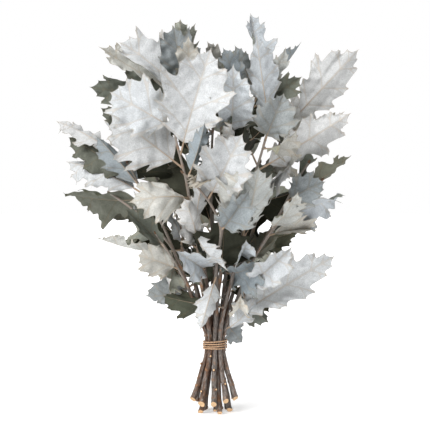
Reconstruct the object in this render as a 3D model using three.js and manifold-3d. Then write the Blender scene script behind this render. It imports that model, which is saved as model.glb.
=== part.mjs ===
// A bunch of dyed red oak stems, tied with twine and standing on its cut ends.
// Millimetres, +Z up. The front faces -Y. The origin is on the floor, under the middle of the bunch.
import * as THREE from "three";
import { mergeVertices } from "three/addons/utils/BufferGeometryUtils.js";
import Module from "manifold-3d";

const wasm = await Module();
wasm.setup();

// A repeatable draw from 0 to 1 for item number `item`, one for each `channel`.
function chance(item, channel) {
  const v = Math.sin(item * 12.9898 + channel * 78.233) * 43758.5453;
  return v - Math.floor(v);
}

const spread = (item, channel, reach) => (2 * chance(item, channel) - 1) * reach;
const vec = (x, y, z) => new THREE.Vector3(x, y, z);

// Driving dimensions of the stems
const WAIST_Z = 110; // height of the tie, where the stems are drawn together
const TIE_HALF_HEIGHT = 8; // the stems run straight up inside the tie
const WAIST_SOFTNESS = 10; // how gently they bend past it
const OUTER_RING = 13.4; // radius of the ring of ten stems at the tie
const INNER_RING = 6.5; // radius of the ring of five stems inside it
const STEM_SIDES = 5;
// Heights of a stem's section where it bends most, and the count of sections above them
const BEND_HEIGHTS = [64, 90, WAIST_Z - TIE_HALF_HEIGHT, WAIST_Z + TIE_HALF_HEIGHT, 140];
const UPPER_RINGS = 4;
const TIP_RADIUS = 1.7;
const EARLY_SPREAD = 0.78; // share of a stem's spread that comes at an even slope
const STEM_WOBBLE = 3;

// Driving dimensions of the leaves
const PETIOLE_SHARE = 0.14; // of a leaf's length
const PETIOLE_HALF_WIDTH = 1.3;
const PETIOLE_HALF_THICKNESS = 1.0;
const RIB_HALF_THICKNESS = 0.6;
const EDGE_HALF_THICKNESS = 0.35;
const WAVES = 2.5; // along each edge
const LEAST_WAVE = 2.5; // height of a wave at the edge
const MORE_WAVE = 4.5;
const ROLL_SPREAD = 16; // degrees either way, for the large front leaves
const WIDER_ROLL_SPREAD = 34; // for the others
const TWIST_SPREAD = 46; // degrees either way
const LEAST_FOLD = 12; // degrees that each half stands up or down from flat
const MORE_FOLD = 48;
const FOLDED_UP = 0.62; // share of the leaves whose halves stand up
const LEAST_CURL = 0.03; // how far the widest lobes bend further up or down, as a share of the width
const MORE_CURL = 0.12;
const BROADER = 1.08; // a leaf's width over its width as it is seen
const CLEAR_OF_NEIGHBOUR = 1.1;

// The crown's half width and half depth at a few heights
const CROWN = [
  { z: 110, wide: 40, deep: 24 },
  { z: 150, wide: 60, deep: 50 },
  { z: 200, wide: 110, deep: 85 },
  { z: 300, wide: 165, deep: 130 },
  { z: 400, wide: 240, deep: 160 },
  { z: 500, wide: 220, deep: 155 },
  { z: 580, wide: 195, deep: 120 },
  { z: 640, wide: 90, deep: 50 },
];
const LAYER_STEP = 26; // from one layer of leaves to the next one in
const ROOT_DEPTH = 40; // a leaf's root lies this much further in than its tip
const SIGHT_DISTANCE = 2300; // the leaves' places are given as seen from this far in front,
const SIGHT_Z = 400; // at this height
const DEPTH_WEIGHT = 0.25; // of a root's miss in depth, against a miss to the side
const CROWDING = 70; // square millimetres that each leaf on a stem adds to its distance
const FRONT_FREEDOM = vec(0.35, 1, 0.35); // how freely leaves settle along x, y and z
const ALL_FREEDOM = vec(1, 1, 1);
const CLEAR_WAY = [0.08, 0.14, 0.2, 0.28]; // shares of a leaf's length that must miss the other stems

const pastTie = (d) => Math.max(Math.abs(d) - TIE_HALF_HEIGHT, 0);
const softened = (d) => Math.hypot(pastTie(d), WAIST_SOFTNESS) - WAIST_SOFTNESS;

function polar(degrees, radius, z) {
  const a = THREE.MathUtils.degToRad(degrees);
  return vec(radius * Math.cos(a), radius * Math.sin(a), z);
}

// Each stem: its place at the tie, its cut end, the middle of its tip, and its radius at the cut end.
function stemList() {
  const stems = [
    { waist: vec(0, 0, WAIST_Z), foot: vec(0, 0, 0), tip: vec(-6, 8, 540), radius: 3.4, tied: 2.5 },
  ];
  const innerFeet = [24, 24, 24, 27, 27];
  for (let k = 0; k < 5; k++) {
    const angle = 72 * k;
    const tip = polar(angle + 8, 1, 515 - 12 * (k % 2));
    stems.push({
      waist: polar(angle, INNER_RING, WAIST_Z),
      foot: polar(angle - 3, innerFeet[k], 0),
      tip: vec(tip.x * 66, tip.y * 52, tip.z),
      radius: 4.7,
      tied: 3.6,
    });
  }
  // The front and side stems of the outer ring are cut a little short of the floor.
  const outerFeet = [
    { reach: 33, z: 22 },
    { reach: 31, z: 0 },
    { reach: 33, z: 0 },
    { reach: 31, z: 0 },
    { reach: 32, z: 20 },
    { reach: 36, z: 22 },
    { reach: 34, z: 17 },
    { reach: 34, z: 18 },
    { reach: 33, z: 22 },
    { reach: 35, z: 24 },
  ];
  outerFeet.forEach((cut, k) => {
    const angle = 18 + 36 * k;
    const tip = polar(angle + 6, 1, k % 2 ? 400 : 462);
    stems.push({
      waist: polar(angle, OUTER_RING, WAIST_Z),
      foot: polar(angle - 4, cut.reach, cut.z),
      tip: vec(tip.x * (k % 2 ? 150 : 128), tip.y * (k % 2 ? 118 : 104), tip.z),
      radius: k === 6 ? 5.4 : 4.9,
      tied: 3.6,
    });
  });
  return stems.map((stem, item) => ({ ...stem, item }));
}

function stemPoint(stem, z) {
  const end = z < WAIST_Z ? stem.foot : stem.tip;
  const reach = softened(z - WAIST_Z) / softened(end.z - WAIST_Z);
  const share = z < WAIST_Z ? reach : EARLY_SPREAD * reach + (1 - EARLY_SPREAD) * reach * reach;
  const point = stem.waist.clone().lerp(end, share);
  if (z > WAIST_Z) {
    const sway = STEM_WOBBLE * 4 * reach * (1 - reach);
    point.x += sway * Math.sin(7 * reach + 6 * chance(stem.item, 1));
    point.y += sway * Math.sin(6 * reach + 6 * chance(stem.item, 2));
  }
  return point.setZ(z);
}

function stemRadius(stem, z) {
  if (z < WAIST_Z) {
    return THREE.MathUtils.mapLinear(z, stem.foot.z, WAIST_Z, stem.radius, stem.tied);
  }
  return THREE.MathUtils.mapLinear(z, WAIST_Z, stem.tip.z, stem.tied, TIP_RADIUS);
}

// Side twigs, by the place of their tips. Each leaves the stem that is nearest a little lower down.
const TWIG_RISE = 100;
const TWIG_RADIUS = 2.1;
const TWIG_SIDES = 4;
const TWIG_TIPS = [
  vec(-165, -30, 352),
  vec(168, -25, 372),
  vec(-92, -64, 290),
  vec(84, -58, 250),
  vec(-48, -128, 385),
  vec(42, -132, 405),
  vec(-128, 62, 334),
  vec(140, 42, 345),
  vec(50, 122, 380),
  vec(-46, 126, 400),
];

const stems = stemList();

function nearestStem(point, z) {
  const gap = (stem) => (z < stem.tip.z ? stemPoint(stem, z).setZ(point.z).distanceTo(point) : Infinity);
  return stems.reduce((best, stem) => (gap(stem) < gap(best) ? stem : best));
}

const twigs = TWIG_TIPS.map((tip) => {
  const stem = nearestStem(tip, tip.z - TWIG_RISE);
  const start = stemPoint(stem, tip.z - TWIG_RISE);
  const along = stemPoint(stem, tip.z - TWIG_RISE + 30).sub(start).multiplyScalar(1.4);
  return { stem, tip, start, bend: start.clone().add(along) };
});

const twigPoint = (twig, t) => new THREE.QuadraticBezierCurve3(twig.start, twig.bend, twig.tip).getPoint(t);

// Places where a leaf may grow, as a point on a stem or twig with the stem that carries it
function leafSites() {
  const sites = [];
  for (const stem of stems) {
    for (let z = WAIST_Z + 18; z < stem.tip.z; z += 6) sites.push({ stem, point: stemPoint(stem, z) });
  }
  for (const twig of twigs) {
    for (let t = 0.3; t <= 1; t += 0.08) sites.push({ stem: twig.stem, point: twigPoint(twig, t) });
  }
  return sites;
}

// The leaves seen from the front, in millimetres in the plane through the middle of the bunch:
// root x and z, tip x and z, width, layer (0 is in front), roll in degrees, arch, and colour.
// The colours are w white, k cream, b blue-grey and s sage.
const LEAF_ROWS = [
  [-72, 407, -6, 580, 100, 0, 0, 10, "w"],
  [-62, 453, -165, 512, 88, 0, -5, 12, "w"],
  [-82, 385, -165, 478, 100, 1, 5, 8, "w"],
  [-2, 350, 48, 436, 84, 0, 0, 6, "w"],
  [73, 487, 66, 602, 84, 1, 0, 8, "w"],
  [20, 440, 34, 556, 70, 1, 0, 16, "w"],
  [-45, 335, -135, 338, 82, 0, 10, 20, "k"],
  [80, 438, 112, 506, 74, 1, 0, 8, "b"],
  [75, 380, 218, 476, 68, 1, 5, 6, "w"],
  [122, 473, 228, 580, 76, 2, 0, -8, "w"],
  [30, 142, 184, 260, 68, 0, 0, 8, "w"],
  [0, 222, -24, 134, 60, 0, 0, 10, "w"],
  [-32, 226, -84, 294, 66, 1, 5, 6, "w"],
  [12, 222, 88, 247, 66, 1, 25, 10, "b"],
  [-15, 295, 48, 384, 64, 0, 30, 10, "k"],
  [20, 296, 52, 360, 60, 1, 10, 8, "b"],
  [-35, 300, -20, 400, 52, 1, 0, 8, "w"],
  [50, 280, 63, 390, 76, 1, 20, 12, "k"],
  [-25, 290, 23, 226, 42, 0, 20, 14, "w"],
  [-38, 278, -63, 346, 46, 1, 10, 8, "w"],
  [-22, 272, -56, 314, 44, 2, 0, 8, "w"],
  [-112, 352, -246, 406, 56, 1, 20, 10, "w"],
  [-105, 345, -215, 354, 82, 2, -10, 8, "s"],
  [-100, 300, -193, 331, 48, 3, 10, 6, "s"],
  [-110, 380, -232, 438, 58, 2, -15, 8, "s"],
  [-95, 370, -190, 441, 62, 2, 30, 10, "b"],
  [-130, 420, -250, 466, 46, 2, 35, 8, "w"],
  [-130, 430, -182, 488, 44, 3, 30, 4, "s"],
  [-85, 505, -152, 594, 74, 1, 0, 14, "w"],
  [-110, 530, -184, 584, 46, 2, 40, -8, "k"],
  [-105, 545, -198, 513, 60, 3, 0, 6, "s"],
  [-80, 503, -66, 613, 76, 2, 0, 8, "b"],
  [-46, 528, -42, 606, 44, 1, 20, 8, "k"],
  [-38, 543, -12, 592, 40, 2, 35, 6, "k"],
  [5, 520, 14, 581, 44, 2, 20, 10, "b"],
  [45, 530, 28, 588, 44, 3, 20, 8, "b"],
  [68, 515, 60, 640, 52, 3, 30, 6, "w"],
  [98, 522, 136, 591, 40, 3, 40, 4, "b"],
  [88, 515, 113, 582, 36, 2, 55, 6, "k"],
  [100, 490, 141, 534, 48, 3, 20, 12, "s"],
  [115, 465, 197, 490, 52, 3, 25, 8, "k"],
  [50, 428, 124, 459, 40, 1, 40, 8, "k"],
  [105, 365, 208, 414, 50, 3, 40, 8, "s"],
  [92, 350, 173, 369, 60, 2, 10, 8, "b"],
  [85, 383, 124, 440, 52, 3, 10, 8, "k"],
  [98, 368, 122, 403, 34, 3, 0, 8, "w"],
  [80, 298, 136, 360, 48, 2, 25, 6, "k"],
  [84, 284, 160, 298, 46, 2, 10, 12, "k"],
  [68, 205, 122, 292, 58, 1, 10, 10, "w"],
  [40, 248, 58, 292, 46, 1, 0, 6, "w"],
  [50, 243, 100, 276, 52, 3, 0, 8, "s"],
  [22, 138, 60, 182, 42, 1, 25, 12, "w"],
  [20, 150, 43, 113, 40, 2, 0, 8, "b"],
  [-60, 228, -122, 250, 58, 1, 10, 10, "k"],
  [-48, 205, -110, 213, 70, 2, 0, 10, "b"],
  [-48, 200, -48, 154, 42, 3, 10, 8, "b"],
  [-75, 265, -142, 325, 48, 1, 25, 8, "s"],
  [-80, 262, -133, 271, 48, 3, 10, 8, "s"],
  [-48, 268, -90, 334, 40, 2, 50, 8, "w"],
  [-20, 396, -14, 464, 42, 1, 10, 8, "b"],
  [-25, 404, -64, 384, 50, 2, 15, 8, "b"],
  [-20, 400, -40, 368, 30, 1, 20, 6, "k"],
  [40, 428, 38, 500, 56, 3, 5, 6, "s"],
  [12, 430, -3, 465, 36, 1, 20, 14, "w"],
  [20, 212, 32, 291, 54, 3, 15, 8, "s"],
  [-2, 228, -18, 274, 42, 2, 20, 8, "s"],
  [105, 432, 139, 459, 42, 4, 10, 10, "s"],
  [62, 365, 100, 398, 46, 4, 0, 6, "s"],
  [45, 175, 62, 210, 40, 1, 20, 12, "k"],
];

// The other sides of the bunch repeat some of the larger leaves, turned round the upright axis.
const LEAST_REPEATED_WIDTH = 41;
const LOWEST_REPEATED_TIP = 150;
const OTHER_SIDES = [
  { turn: 180, halfWidth: 150, lower: 18 },
  { turn: 90, halfWidth: 56, lower: 30 },
  { turn: -90, halfWidth: 56, lower: 42 },
];

// Leaves inside the crown, each turned from the one below by the golden angle. They close the
// view through it.
const INNER_LEAVES = 15;
const FIRST_INNER = 400; // item number
const INNER_LOW_Z = 262; // of their tips
const INNER_HIGH_Z = 540;
const INNER_RISE = 86; // of a tip over its root
const INNER_TIP_REACH = 0.5; // share of the crown's half width and depth
const INNER_ROOT_REACH = 0.25;
const INNER_WIDTH = 96;
const INNER_ROLL_SPREAD = 40; // degrees either way
const INNER_ARCH = 8;
const GOLDEN_ANGLE = 137.5;
const LAST_FRONT = 20; // item number of the last of the large front leaves, which settle the least
const FRONT_HOLD = 0.4; // share of the others' freedom

function crownSize(z) {
  const after = CROWN.findIndex((row) => row.z >= z);
  const b = CROWN[after === -1 ? CROWN.length - 1 : Math.max(after, 1)];
  const a = CROWN[CROWN.indexOf(b) - 1];
  const t = THREE.MathUtils.clamp((z - a.z) / (b.z - a.z), 0, 1);
  return { wide: THREE.MathUtils.lerp(a.wide, b.wide, t), deep: THREE.MathUtils.lerp(a.deep, b.deep, t) };
}

function crownDepth(x, z) {
  const { wide, deep } = crownSize(z);
  return deep * Math.sqrt(Math.max(0, 1 - (x / wide) ** 2));
}

// The point at depth y on the line of sight through x and z of the middle plane
function onSightLine(x, z, y) {
  const share = (SIGHT_DISTANCE + y) / SIGHT_DISTANCE;
  return vec(x * share, y, SIGHT_Z + (z - SIGHT_Z) * share);
}

// Whether a leaf from this place reaches its blade without passing through another stem
function hasClearWay(site, tip) {
  return CLEAR_WAY.every((share) => {
    const p = site.point.clone().lerp(tip, share);
    return stems.every((stem) => {
      if (stem === site.stem || p.z >= stem.tip.z) return true;
      return stemPoint(stem, p.z).distanceTo(p) > stemRadius(stem, p.z) + 2 * PETIOLE_HALF_WIDTH;
    });
  });
}

// The free place on the wood that lies nearest to where a leaf should spring from. Depth along
// the line of sight counts for less than a step to the side, and a crowded stem for less too.
function rootFor(leaf, sites, leaves) {
  const miss = (site) => {
    const d = site.point.clone().sub(leaf.wish);
    const crowd = leaves.filter((other) => other.stem === site.stem).length;
    return d.lengthSq() - (1 - DEPTH_WEIGHT) * d.dot(leaf.sight) ** 2 + CROWDING * crowd;
  };
  const free = sites.filter((site) => !site.taken);
  const nearest = free.map((site) => ({ site, far: miss(site) })).sort((a, b) => a.far - b.far);
  const found = nearest.find(({ site }) => hasClearWay(site, leaf.tip)) ?? nearest[0];
  found.site.taken = true;
  return found.site;
}

function leafList() {
  const sites = leafSites();
  const up = vec(0, 0, 1);
  const leaves = [];
  const place = (leaf) => {
    const { item, width, roll } = leaf;
    const site = rootFor(leaf, sites, leaves);
    const sign = chance(item, 7) < FOLDED_UP ? 1 : -1;
    const rollSpread = item <= LAST_FRONT ? ROLL_SPREAD : WIDER_ROLL_SPREAD;
    leaves.push({
      ...leaf,
      stem: site.stem,
      root: site.point.clone(),
      length: leaf.tip.distanceTo(site.point),
      roll: THREE.MathUtils.degToRad(roll + spread(item, 1, rollSpread)),
      fold: THREE.MathUtils.degToRad(sign * (LEAST_FOLD + MORE_FOLD * chance(item, 2) ** 2)),
      curl: sign * width * (LEAST_CURL + MORE_CURL * chance(item, 9)),
      twist: THREE.MathUtils.degToRad(spread(item, 3, TWIST_SPREAD)),
      wave: LEAST_WAVE + MORE_WAVE * chance(item, 4),
      phases: [chance(item, 5), chance(item, 6)],
    });
  };
  const placeRow = (row, item, turn, lower) => {
    const [rootX, rootZ, tipX, tipZ, seenWidth, layer, roll, arch, colour] = row;
    const angle = THREE.MathUtils.degToRad(turn);
    const tip = onSightLine(tipX, tipZ, layer * LAYER_STEP - crownDepth(tipX, tipZ));
    const wish = onSightLine(rootX, rootZ, ROOT_DEPTH + layer * LAYER_STEP - crownDepth(rootX, rootZ));
    for (const p of [tip, wish]) p.applyAxisAngle(up, angle).setZ(p.z - lower);
    const sight = vec(0, -1, 0).applyAxisAngle(up, angle);
    const freedom = (turn === 0 ? FRONT_FREEDOM : ALL_FREEDOM).clone();
    if (item <= LAST_FRONT) freedom.multiplyScalar(FRONT_HOLD);
    place({ item, wish, tip, sight, width: seenWidth * BROADER, roll, arch, colour, freedom });
  };
  LEAF_ROWS.forEach((row, item) => placeRow(row, item, 0, 0));
  OTHER_SIDES.forEach((side, s) => {
    LEAF_ROWS.forEach((row, item) => {
      const [, , tipX, tipZ, width] = row;
      const low = tipZ - side.lower < LOWEST_REPEATED_TIP;
      const fits = Math.abs(tipX) < side.halfWidth && width > LEAST_REPEATED_WIDTH && !low;
      if (fits && item % 2 === s % 2) placeRow(row, item + 100 * (s + 1), side.turn, side.lower);
    });
  });
  for (let k = 0; k < INNER_LEAVES; k++) {
    const item = FIRST_INNER + k;
    const z = THREE.MathUtils.lerp(INNER_LOW_Z, INNER_HIGH_Z, (k + 0.5) / INNER_LEAVES);
    const { wide, deep } = crownSize(z);
    const sight = polar(GOLDEN_ANGLE * k, 1, 0);
    const reach = sight.clone().multiply(vec(wide, deep, 0));
    const tip = reach.clone().multiplyScalar(INNER_TIP_REACH).setZ(z);
    const wish = reach.clone().multiplyScalar(INNER_ROOT_REACH).setZ(z - INNER_RISE);
    const roll = spread(item, 8, INNER_ROLL_SPREAD);
    const look = { width: INNER_WIDTH, roll, arch: INNER_ARCH, colour: "d" };
    place({ item, wish, tip, sight, ...look, freedom: ALL_FREEDOM });
  }
  return leaves;
}

// The leaf's own axes: along it, across it, and out of its face
function leafAxes(leaf) {
  const along = leaf.tip.clone().sub(leaf.root).normalize();
  const face = leaf.sight.clone().addScaledVector(along, -leaf.sight.dot(along)).normalize();
  face.applyAxisAngle(along, leaf.roll);
  return { along, face, across: along.clone().cross(face) };
}

// A point of the leaf: s runs from the root at 0 to the tip at 1, v is the distance from the
// midrib with its sign, and lift is the height above the middle of the blade.
function leafPoint(leaf, axes, s, v, lift) {
  const { along, face, across } = axes;
  const slope = (4 * leaf.arch * (1 - 2 * s)) / leaf.length;
  const forward = along.clone().addScaledVector(face, slope).normalize();
  const normal = across.clone().cross(forward);
  const turn = leaf.twist * (s - 0.5);
  const side = across.clone().multiplyScalar(Math.cos(turn)).addScaledVector(normal, Math.sin(turn));
  const out = normal.clone().multiplyScalar(Math.cos(turn)).addScaledVector(across, -Math.sin(turn));
  const a = Math.abs(v);
  const phase = leaf.phases[v > 0 ? 1 : 0];
  const curl = leaf.curl * (a / (0.5 * leaf.width)) ** 2;
  const wave = leaf.wave * (a / (0.5 * leaf.width)) * Math.sin(2 * Math.PI * (WAVES * s + phase));
  return leaf.root
    .clone()
    .lerp(leaf.tip, s)
    .addScaledVector(face, leaf.arch * 4 * s * (1 - s))
    .addScaledVector(side, v * Math.cos(leaf.fold))
    .addScaledVector(out, a * Math.sin(leaf.fold) + curl + wave + lift);
}

// Where leaves meet, they are swung apart about their roots. Each half of a blade counts as two
// flat plates, and a length of wood as a square rod.
const SETTLE_PASSES = 80;
const SETTLE_EASE = 0.6; // share of an overlap that the first pass takes out
const MOST_SWING = 5; // of a tip in one pass
const HOME_PULL = 0.03; // share of the way back to its first place that a tip is drawn in a pass
const PLATE_HALF_THICKNESS = 2.4;
const PLATE_SPANS = [
  { from: 0.2, to: 0.6, fill: 0.7 },
  { from: 0.6, to: 0.98, fill: 0.72 },
];
const ROD_SPAN = 50;
const ROD_MARGIN = 1.5;
const PUSH_FROM_LEAF = 0.5;
const PUSH_FROM_WOOD = 0.7;

function platesOf(leaf) {
  const axes = leafAxes(leaf);
  const plates = [];
  for (const { from, to, fill } of PLATE_SPANS) {
    const middle = (from + to) / 2;
    const reach = 0.5 * leaf.width * fill;
    for (const side of [-1, 1]) {
      const rib = leafPoint(leaf, axes, middle, 0, 0);
      const edge = leafPoint(leaf, axes, middle, side * reach, 0);
      const u = leafPoint(leaf, axes, to, 0, 0).sub(leafPoint(leaf, axes, from, 0, 0)).normalize();
      const w = edge.clone().sub(rib).normalize();
      const n = u.clone().cross(w).normalize();
      plates.push({
        centre: rib.lerp(edge, 0.5),
        axes: [u, w, n],
        half: [(leaf.length * (to - from)) / 2, reach / 2, PLATE_HALF_THICKNESS],
        lever: middle,
      });
    }
  }
  return plates;
}

function woodPlates() {
  const plates = [];
  const add = (stem, a, b, radius) => {
    const u = b.clone().sub(a).normalize();
    const w = vec(0, 1, 0).cross(u).normalize();
    plates.push({
      stem,
      centre: a.clone().lerp(b, 0.5),
      axes: [u, w, u.clone().cross(w)],
      half: [a.distanceTo(b) / 2, radius, radius],
    });
  };
  for (const stem of stems) {
    for (let z = WAIST_Z; z + ROD_SPAN / 2 < stem.tip.z; z += ROD_SPAN) {
      const top = Math.min(z + ROD_SPAN, stem.tip.z);
      add(stem, stemPoint(stem, z), stemPoint(stem, top), stemRadius(stem, z) + ROD_MARGIN);
    }
  }
  for (const twig of twigs) {
    for (const t of [0, 1 / 3, 2 / 3]) {
      add(twig.stem, twigPoint(twig, t), twigPoint(twig, t + 1 / 3), TWIG_RADIUS + ROD_MARGIN);
    }
  }
  return plates;
}

// The shortest move that takes box a out of box b, or null where they are apart
function leastMove(a, b) {
  const between = b.centre.clone().sub(a.centre);
  const crossed = a.axes.flatMap((u) => b.axes.map((w) => u.clone().cross(w)));
  let best = null;
  for (const axis of [...a.axes, ...b.axes, ...crossed]) {
    const size = axis.length();
    if (size < 0.05) continue;
    const n = axis.clone().divideScalar(size);
    const reach = (box) => box.axes.reduce((sum, u, k) => sum + Math.abs(u.dot(n)) * box.half[k], 0);
    const offset = between.dot(n);
    const overlap = reach(a) + reach(b) - Math.abs(offset);
    if (overlap <= 0) return null;
    if (!best || overlap < best.overlap) best = { overlap, n, sign: offset > 0 ? -1 : 1 };
  }
  return best.n.multiplyScalar(best.sign * best.overlap);
}

function settle(leaves) {
  const wood = woodPlates();
  const home = leaves.map((leaf) => leaf.tip.clone());
  const near = (p, q, reach) => p.distanceToSquared(q) < reach * reach;
  for (let pass = 0; pass < SETTLE_PASSES; pass++) {
    const plates = leaves.map(platesOf);
    const middles = leaves.map((leaf) => leaf.root.clone().lerp(leaf.tip, 0.6));
    const pushes = leaves.map(() => vec(0, 0, 0));
    const calm = 1 - pass / SETTLE_PASSES;
    leaves.forEach((leaf, i) => {
      const reach = 0.55 * leaf.length;
      for (let j = i + 1; j < leaves.length; j++) {
        if (!near(middles[i], middles[j], reach + 0.55 * leaves[j].length)) continue;
        for (const a of plates[i]) {
          for (const b of plates[j]) {
            if (!near(a.centre, b.centre, a.half[0] + b.half[0] + a.half[1] + b.half[1])) continue;
            const move = leastMove(a, b);
            if (!move) continue;
            pushes[i].addScaledVector(move, PUSH_FROM_LEAF / a.lever);
            pushes[j].addScaledVector(move, -PUSH_FROM_LEAF / b.lever);
          }
        }
      }
      for (const box of wood) {
        if (box.stem === leaf.stem || !near(middles[i], box.centre, reach + box.half[0])) continue;
        for (const a of plates[i]) {
          const move = leastMove(a, box);
          if (!move) continue;
          pushes[i].addScaledVector(move, PUSH_FROM_WOOD / a.lever);
        }
      }
    });
    leaves.forEach((leaf, i) => {
      const swing = pushes[i].multiplyScalar(SETTLE_EASE * calm).multiply(leaf.freedom);
      swing.addScaledVector(home[i].clone().sub(leaf.tip), HOME_PULL * calm).clampLength(0, MOST_SWING);
      const reach = leaf.tip.clone().add(swing).sub(leaf.root).setLength(leaf.length);
      leaf.tip.copy(leaf.root).add(reach);
    });
  }
}

const leaves = leafList();
settle(leaves);

function solidOf(geometry) {
  const bare = geometry.clone();
  bare.deleteAttribute("normal");
  bare.deleteAttribute("uv");
  const merged = mergeVertices(bare, 1e-4);
  const vertProperties = Float32Array.from(merged.attributes.position.array);
  const triVerts = Uint32Array.from(merged.index.array);
  return new wasm.Manifold(new wasm.Mesh({ numProp: 3, vertProperties, triVerts }));
}

function geometryOf(solid) {
  const mesh = solid.getMesh();
  const geometry = new THREE.BufferGeometry();
  geometry.setAttribute("position", new THREE.BufferAttribute(mesh.vertProperties, 3));
  geometry.setIndex(new THREE.BufferAttribute(mesh.triVerts, 1));
  return geometry;
}

// Joining and cutting leave a few edges and slivers too small to matter. The shortest side of each
// small or flat triangle is drawn together to one of its ends, where the solid stays closed. The
// broadest triangles are then listed first.
const SHORT_EDGE = 0.5;
const FLAT_HEIGHT = 0.12;
const MOST_DRAWN = 1.3; // the longest side that is drawn together

function withoutSlivers(solid) {
  const { vertProperties, triVerts } = solid.getMesh();
  const at = (i) => vec(vertProperties[3 * i], vertProperties[3 * i + 1], vertProperties[3 * i + 2]);
  let triangles = [];
  for (let k = 0; k < triVerts.length; k += 3) triangles.push([...triVerts.slice(k, k + 3)]);
  const neighbours = (i) => new Set(triangles.filter((t) => t.includes(i)).flat());
  const flatness = ([a, b, c]) => {
    const sides = [[a, b], [b, c], [c, a]].map(([p, q]) => ({ p, q, size: at(p).distanceTo(at(q)) }));
    sides.sort((m, n) => m.size - n.size);
    const area = at(b).sub(at(a)).cross(at(c).sub(at(a))).length() / 2;
    return { area, shortest: sides[0], height: (2 * area) / sides[2].size };
  };
  // An edge can be drawn together where its ends share only the two vertices across it.
  const canJoin = (p, q) => {
    const others = neighbours(q);
    return [...neighbours(p)].filter((i) => others.has(i)).length === 4;
  };
  const isSliver = ({ shortest, height }) => shortest.size < SHORT_EDGE || height < FLAT_HEIGHT;
  const nextSide = () => {
    const sides = triangles.map(flatness).filter(isSliver).map((flat) => flat.shortest);
    sides.sort((m, n) => m.size - n.size);
    return sides.find(({ p, q, size }) => size < MOST_DRAWN && canJoin(p, q));
  };
  for (let side = nextSide(); side; side = nextSide()) {
    const { p, q } = side;
    triangles = triangles.map((t) => t.map((i) => (i === q ? p : i)));
    triangles = triangles.filter(([a, b, c]) => a !== b && b !== c && c !== a);
  }
  const area = new Map(triangles.map((t) => [t, flatness(t).area]));
  triangles.sort((m, n) => area.get(n) - area.get(m));
  const used = [...new Set(triangles.flat())];
  const order = new Map(used.map((i, k) => [i, k]));
  return solidOf(geometryFrom(used.map(at), triangles.map((t) => t.map((i) => order.get(i)))));
}

function geometryFrom(points, triangles) {
  const geometry = new THREE.BufferGeometry().setFromPoints(points);
  geometry.setIndex(triangles.flat());
  return geometry;
}

// A closed tube through rings of points, all rings with the same count
function tubeThrough(rings) {
  const sides = rings[0].length;
  const points = rings.flat();
  const triangles = [];
  for (let r = 0; r + 1 < rings.length; r++) {
    for (let k = 0; k < sides; k++) {
      const a = r * sides + k;
      const b = r * sides + ((k + 1) % sides);
      triangles.push([a, b, b + sides], [a, b + sides, a + sides]);
    }
  }
  const last = points.length - sides;
  for (let k = 1; k + 1 < sides; k++) {
    triangles.push([0, k + 1, k], [last, last + k, last + k + 1]);
  }
  return geometryFrom(points, triangles);
}

function levelRing(centre, radius, sides, turn) {
  return Array.from({ length: sides }, (_, k) => {
    const a = turn + (2 * Math.PI * k) / sides;
    return vec(centre.x + radius * Math.cos(a), centre.y + radius * Math.sin(a), centre.z);
  });
}

// The stem's cut end is level where it stands on the floor. A shorter one is cut on the slant,
// so its face looks out and down.
const SLANT_CUT = 0.75;

function stemSolid(stem, grow = 0) {
  const heights = [stem.foot.z, ...BEND_HEIGHTS];
  const bendTop = BEND_HEIGHTS[BEND_HEIGHTS.length - 1];
  for (let k = 1; k <= UPPER_RINGS; k++) {
    heights.push(THREE.MathUtils.mapLinear(k, 0, UPPER_RINGS, bendTop, stem.tip.z));
  }
  const turn = 6 * chance(stem.item, 3);
  const rings = heights.map((z) => {
    return levelRing(stemPoint(stem, z), stemRadius(stem, z) + grow, STEM_SIDES, turn);
  });
  if (stem.foot.z > 0) {
    const out = stem.foot.clone().setZ(0).normalize();
    for (const p of rings[0]) p.z += SLANT_CUT * p.clone().sub(stem.foot).setZ(0).dot(out);
  }
  return solidOf(tubeThrough(rings));
}

function twigSolid(twig, grow = 0) {
  const rings = [0, 0.25, 0.5, 0.75, 1].map((t) => {
    const radius = THREE.MathUtils.lerp(TWIG_RADIUS, TIP_RADIUS, t) + grow;
    const ahead = twigPoint(twig, Math.min(t + 0.05, 1)).sub(twigPoint(twig, Math.max(t - 0.05, 0)));
    const frame = new THREE.Quaternion().setFromUnitVectors(vec(0, 0, 1), ahead.normalize());
    const ring = levelRing(vec(0, 0, 0), radius, TWIG_SIDES, 0);
    return ring.map((p) => p.applyQuaternion(frame).add(twigPoint(twig, t)));
  });
  return solidOf(tubeThrough(rings));
}

// Half of the leaf's outline, from its base to its tip: s along the leaf and its half width as a
// share of the widest lobe. Bristle-tipped lobes and the bays between them take turns, and each
// bay has a station on the midrib beside it.
const LARGE_OUTLINE = [
  { s: 0.25, w: 0.62 },
  { s: 0.32, w: 0.56 },
  { s: 0.47, w: 0.94 },
  { s: 0.51, w: 0.76 },
  { s: 0.7, w: 1 },
  { s: 0.72, w: 0.73 },
  { s: 0.88, w: 0.62 },
  { s: 0.88, w: 0.41 },
];
const SMALL_OUTLINE = [
  { s: 0.33, w: 0.76 },
  { s: 0.41, w: 0.66 },
  { s: 0.62, w: 1 },
  { s: 0.65, w: 0.74 },
  { s: 0.86, w: 0.64 },
  { s: 0.85, w: 0.45 },
];
const INNER_OUTLINE = [
  { s: 0.4, w: 0.92 },
  { s: 0.47, w: 0.68 },
  { s: 0.7, w: 1 },
  { s: 0.76, w: 0.5 },
];
const LARGE_LEAF_WIDTH = 67; // and a large front leaf has the first outline
const LOBE_SPREAD = 0.3; // how much the lobes' and bays' half widths vary, as a share
const BAY_SPREAD = 0.2;
const LOBE_SHIFT = 0.05; // and how far a lobe shifts along the leaf, as a share of its length

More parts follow.
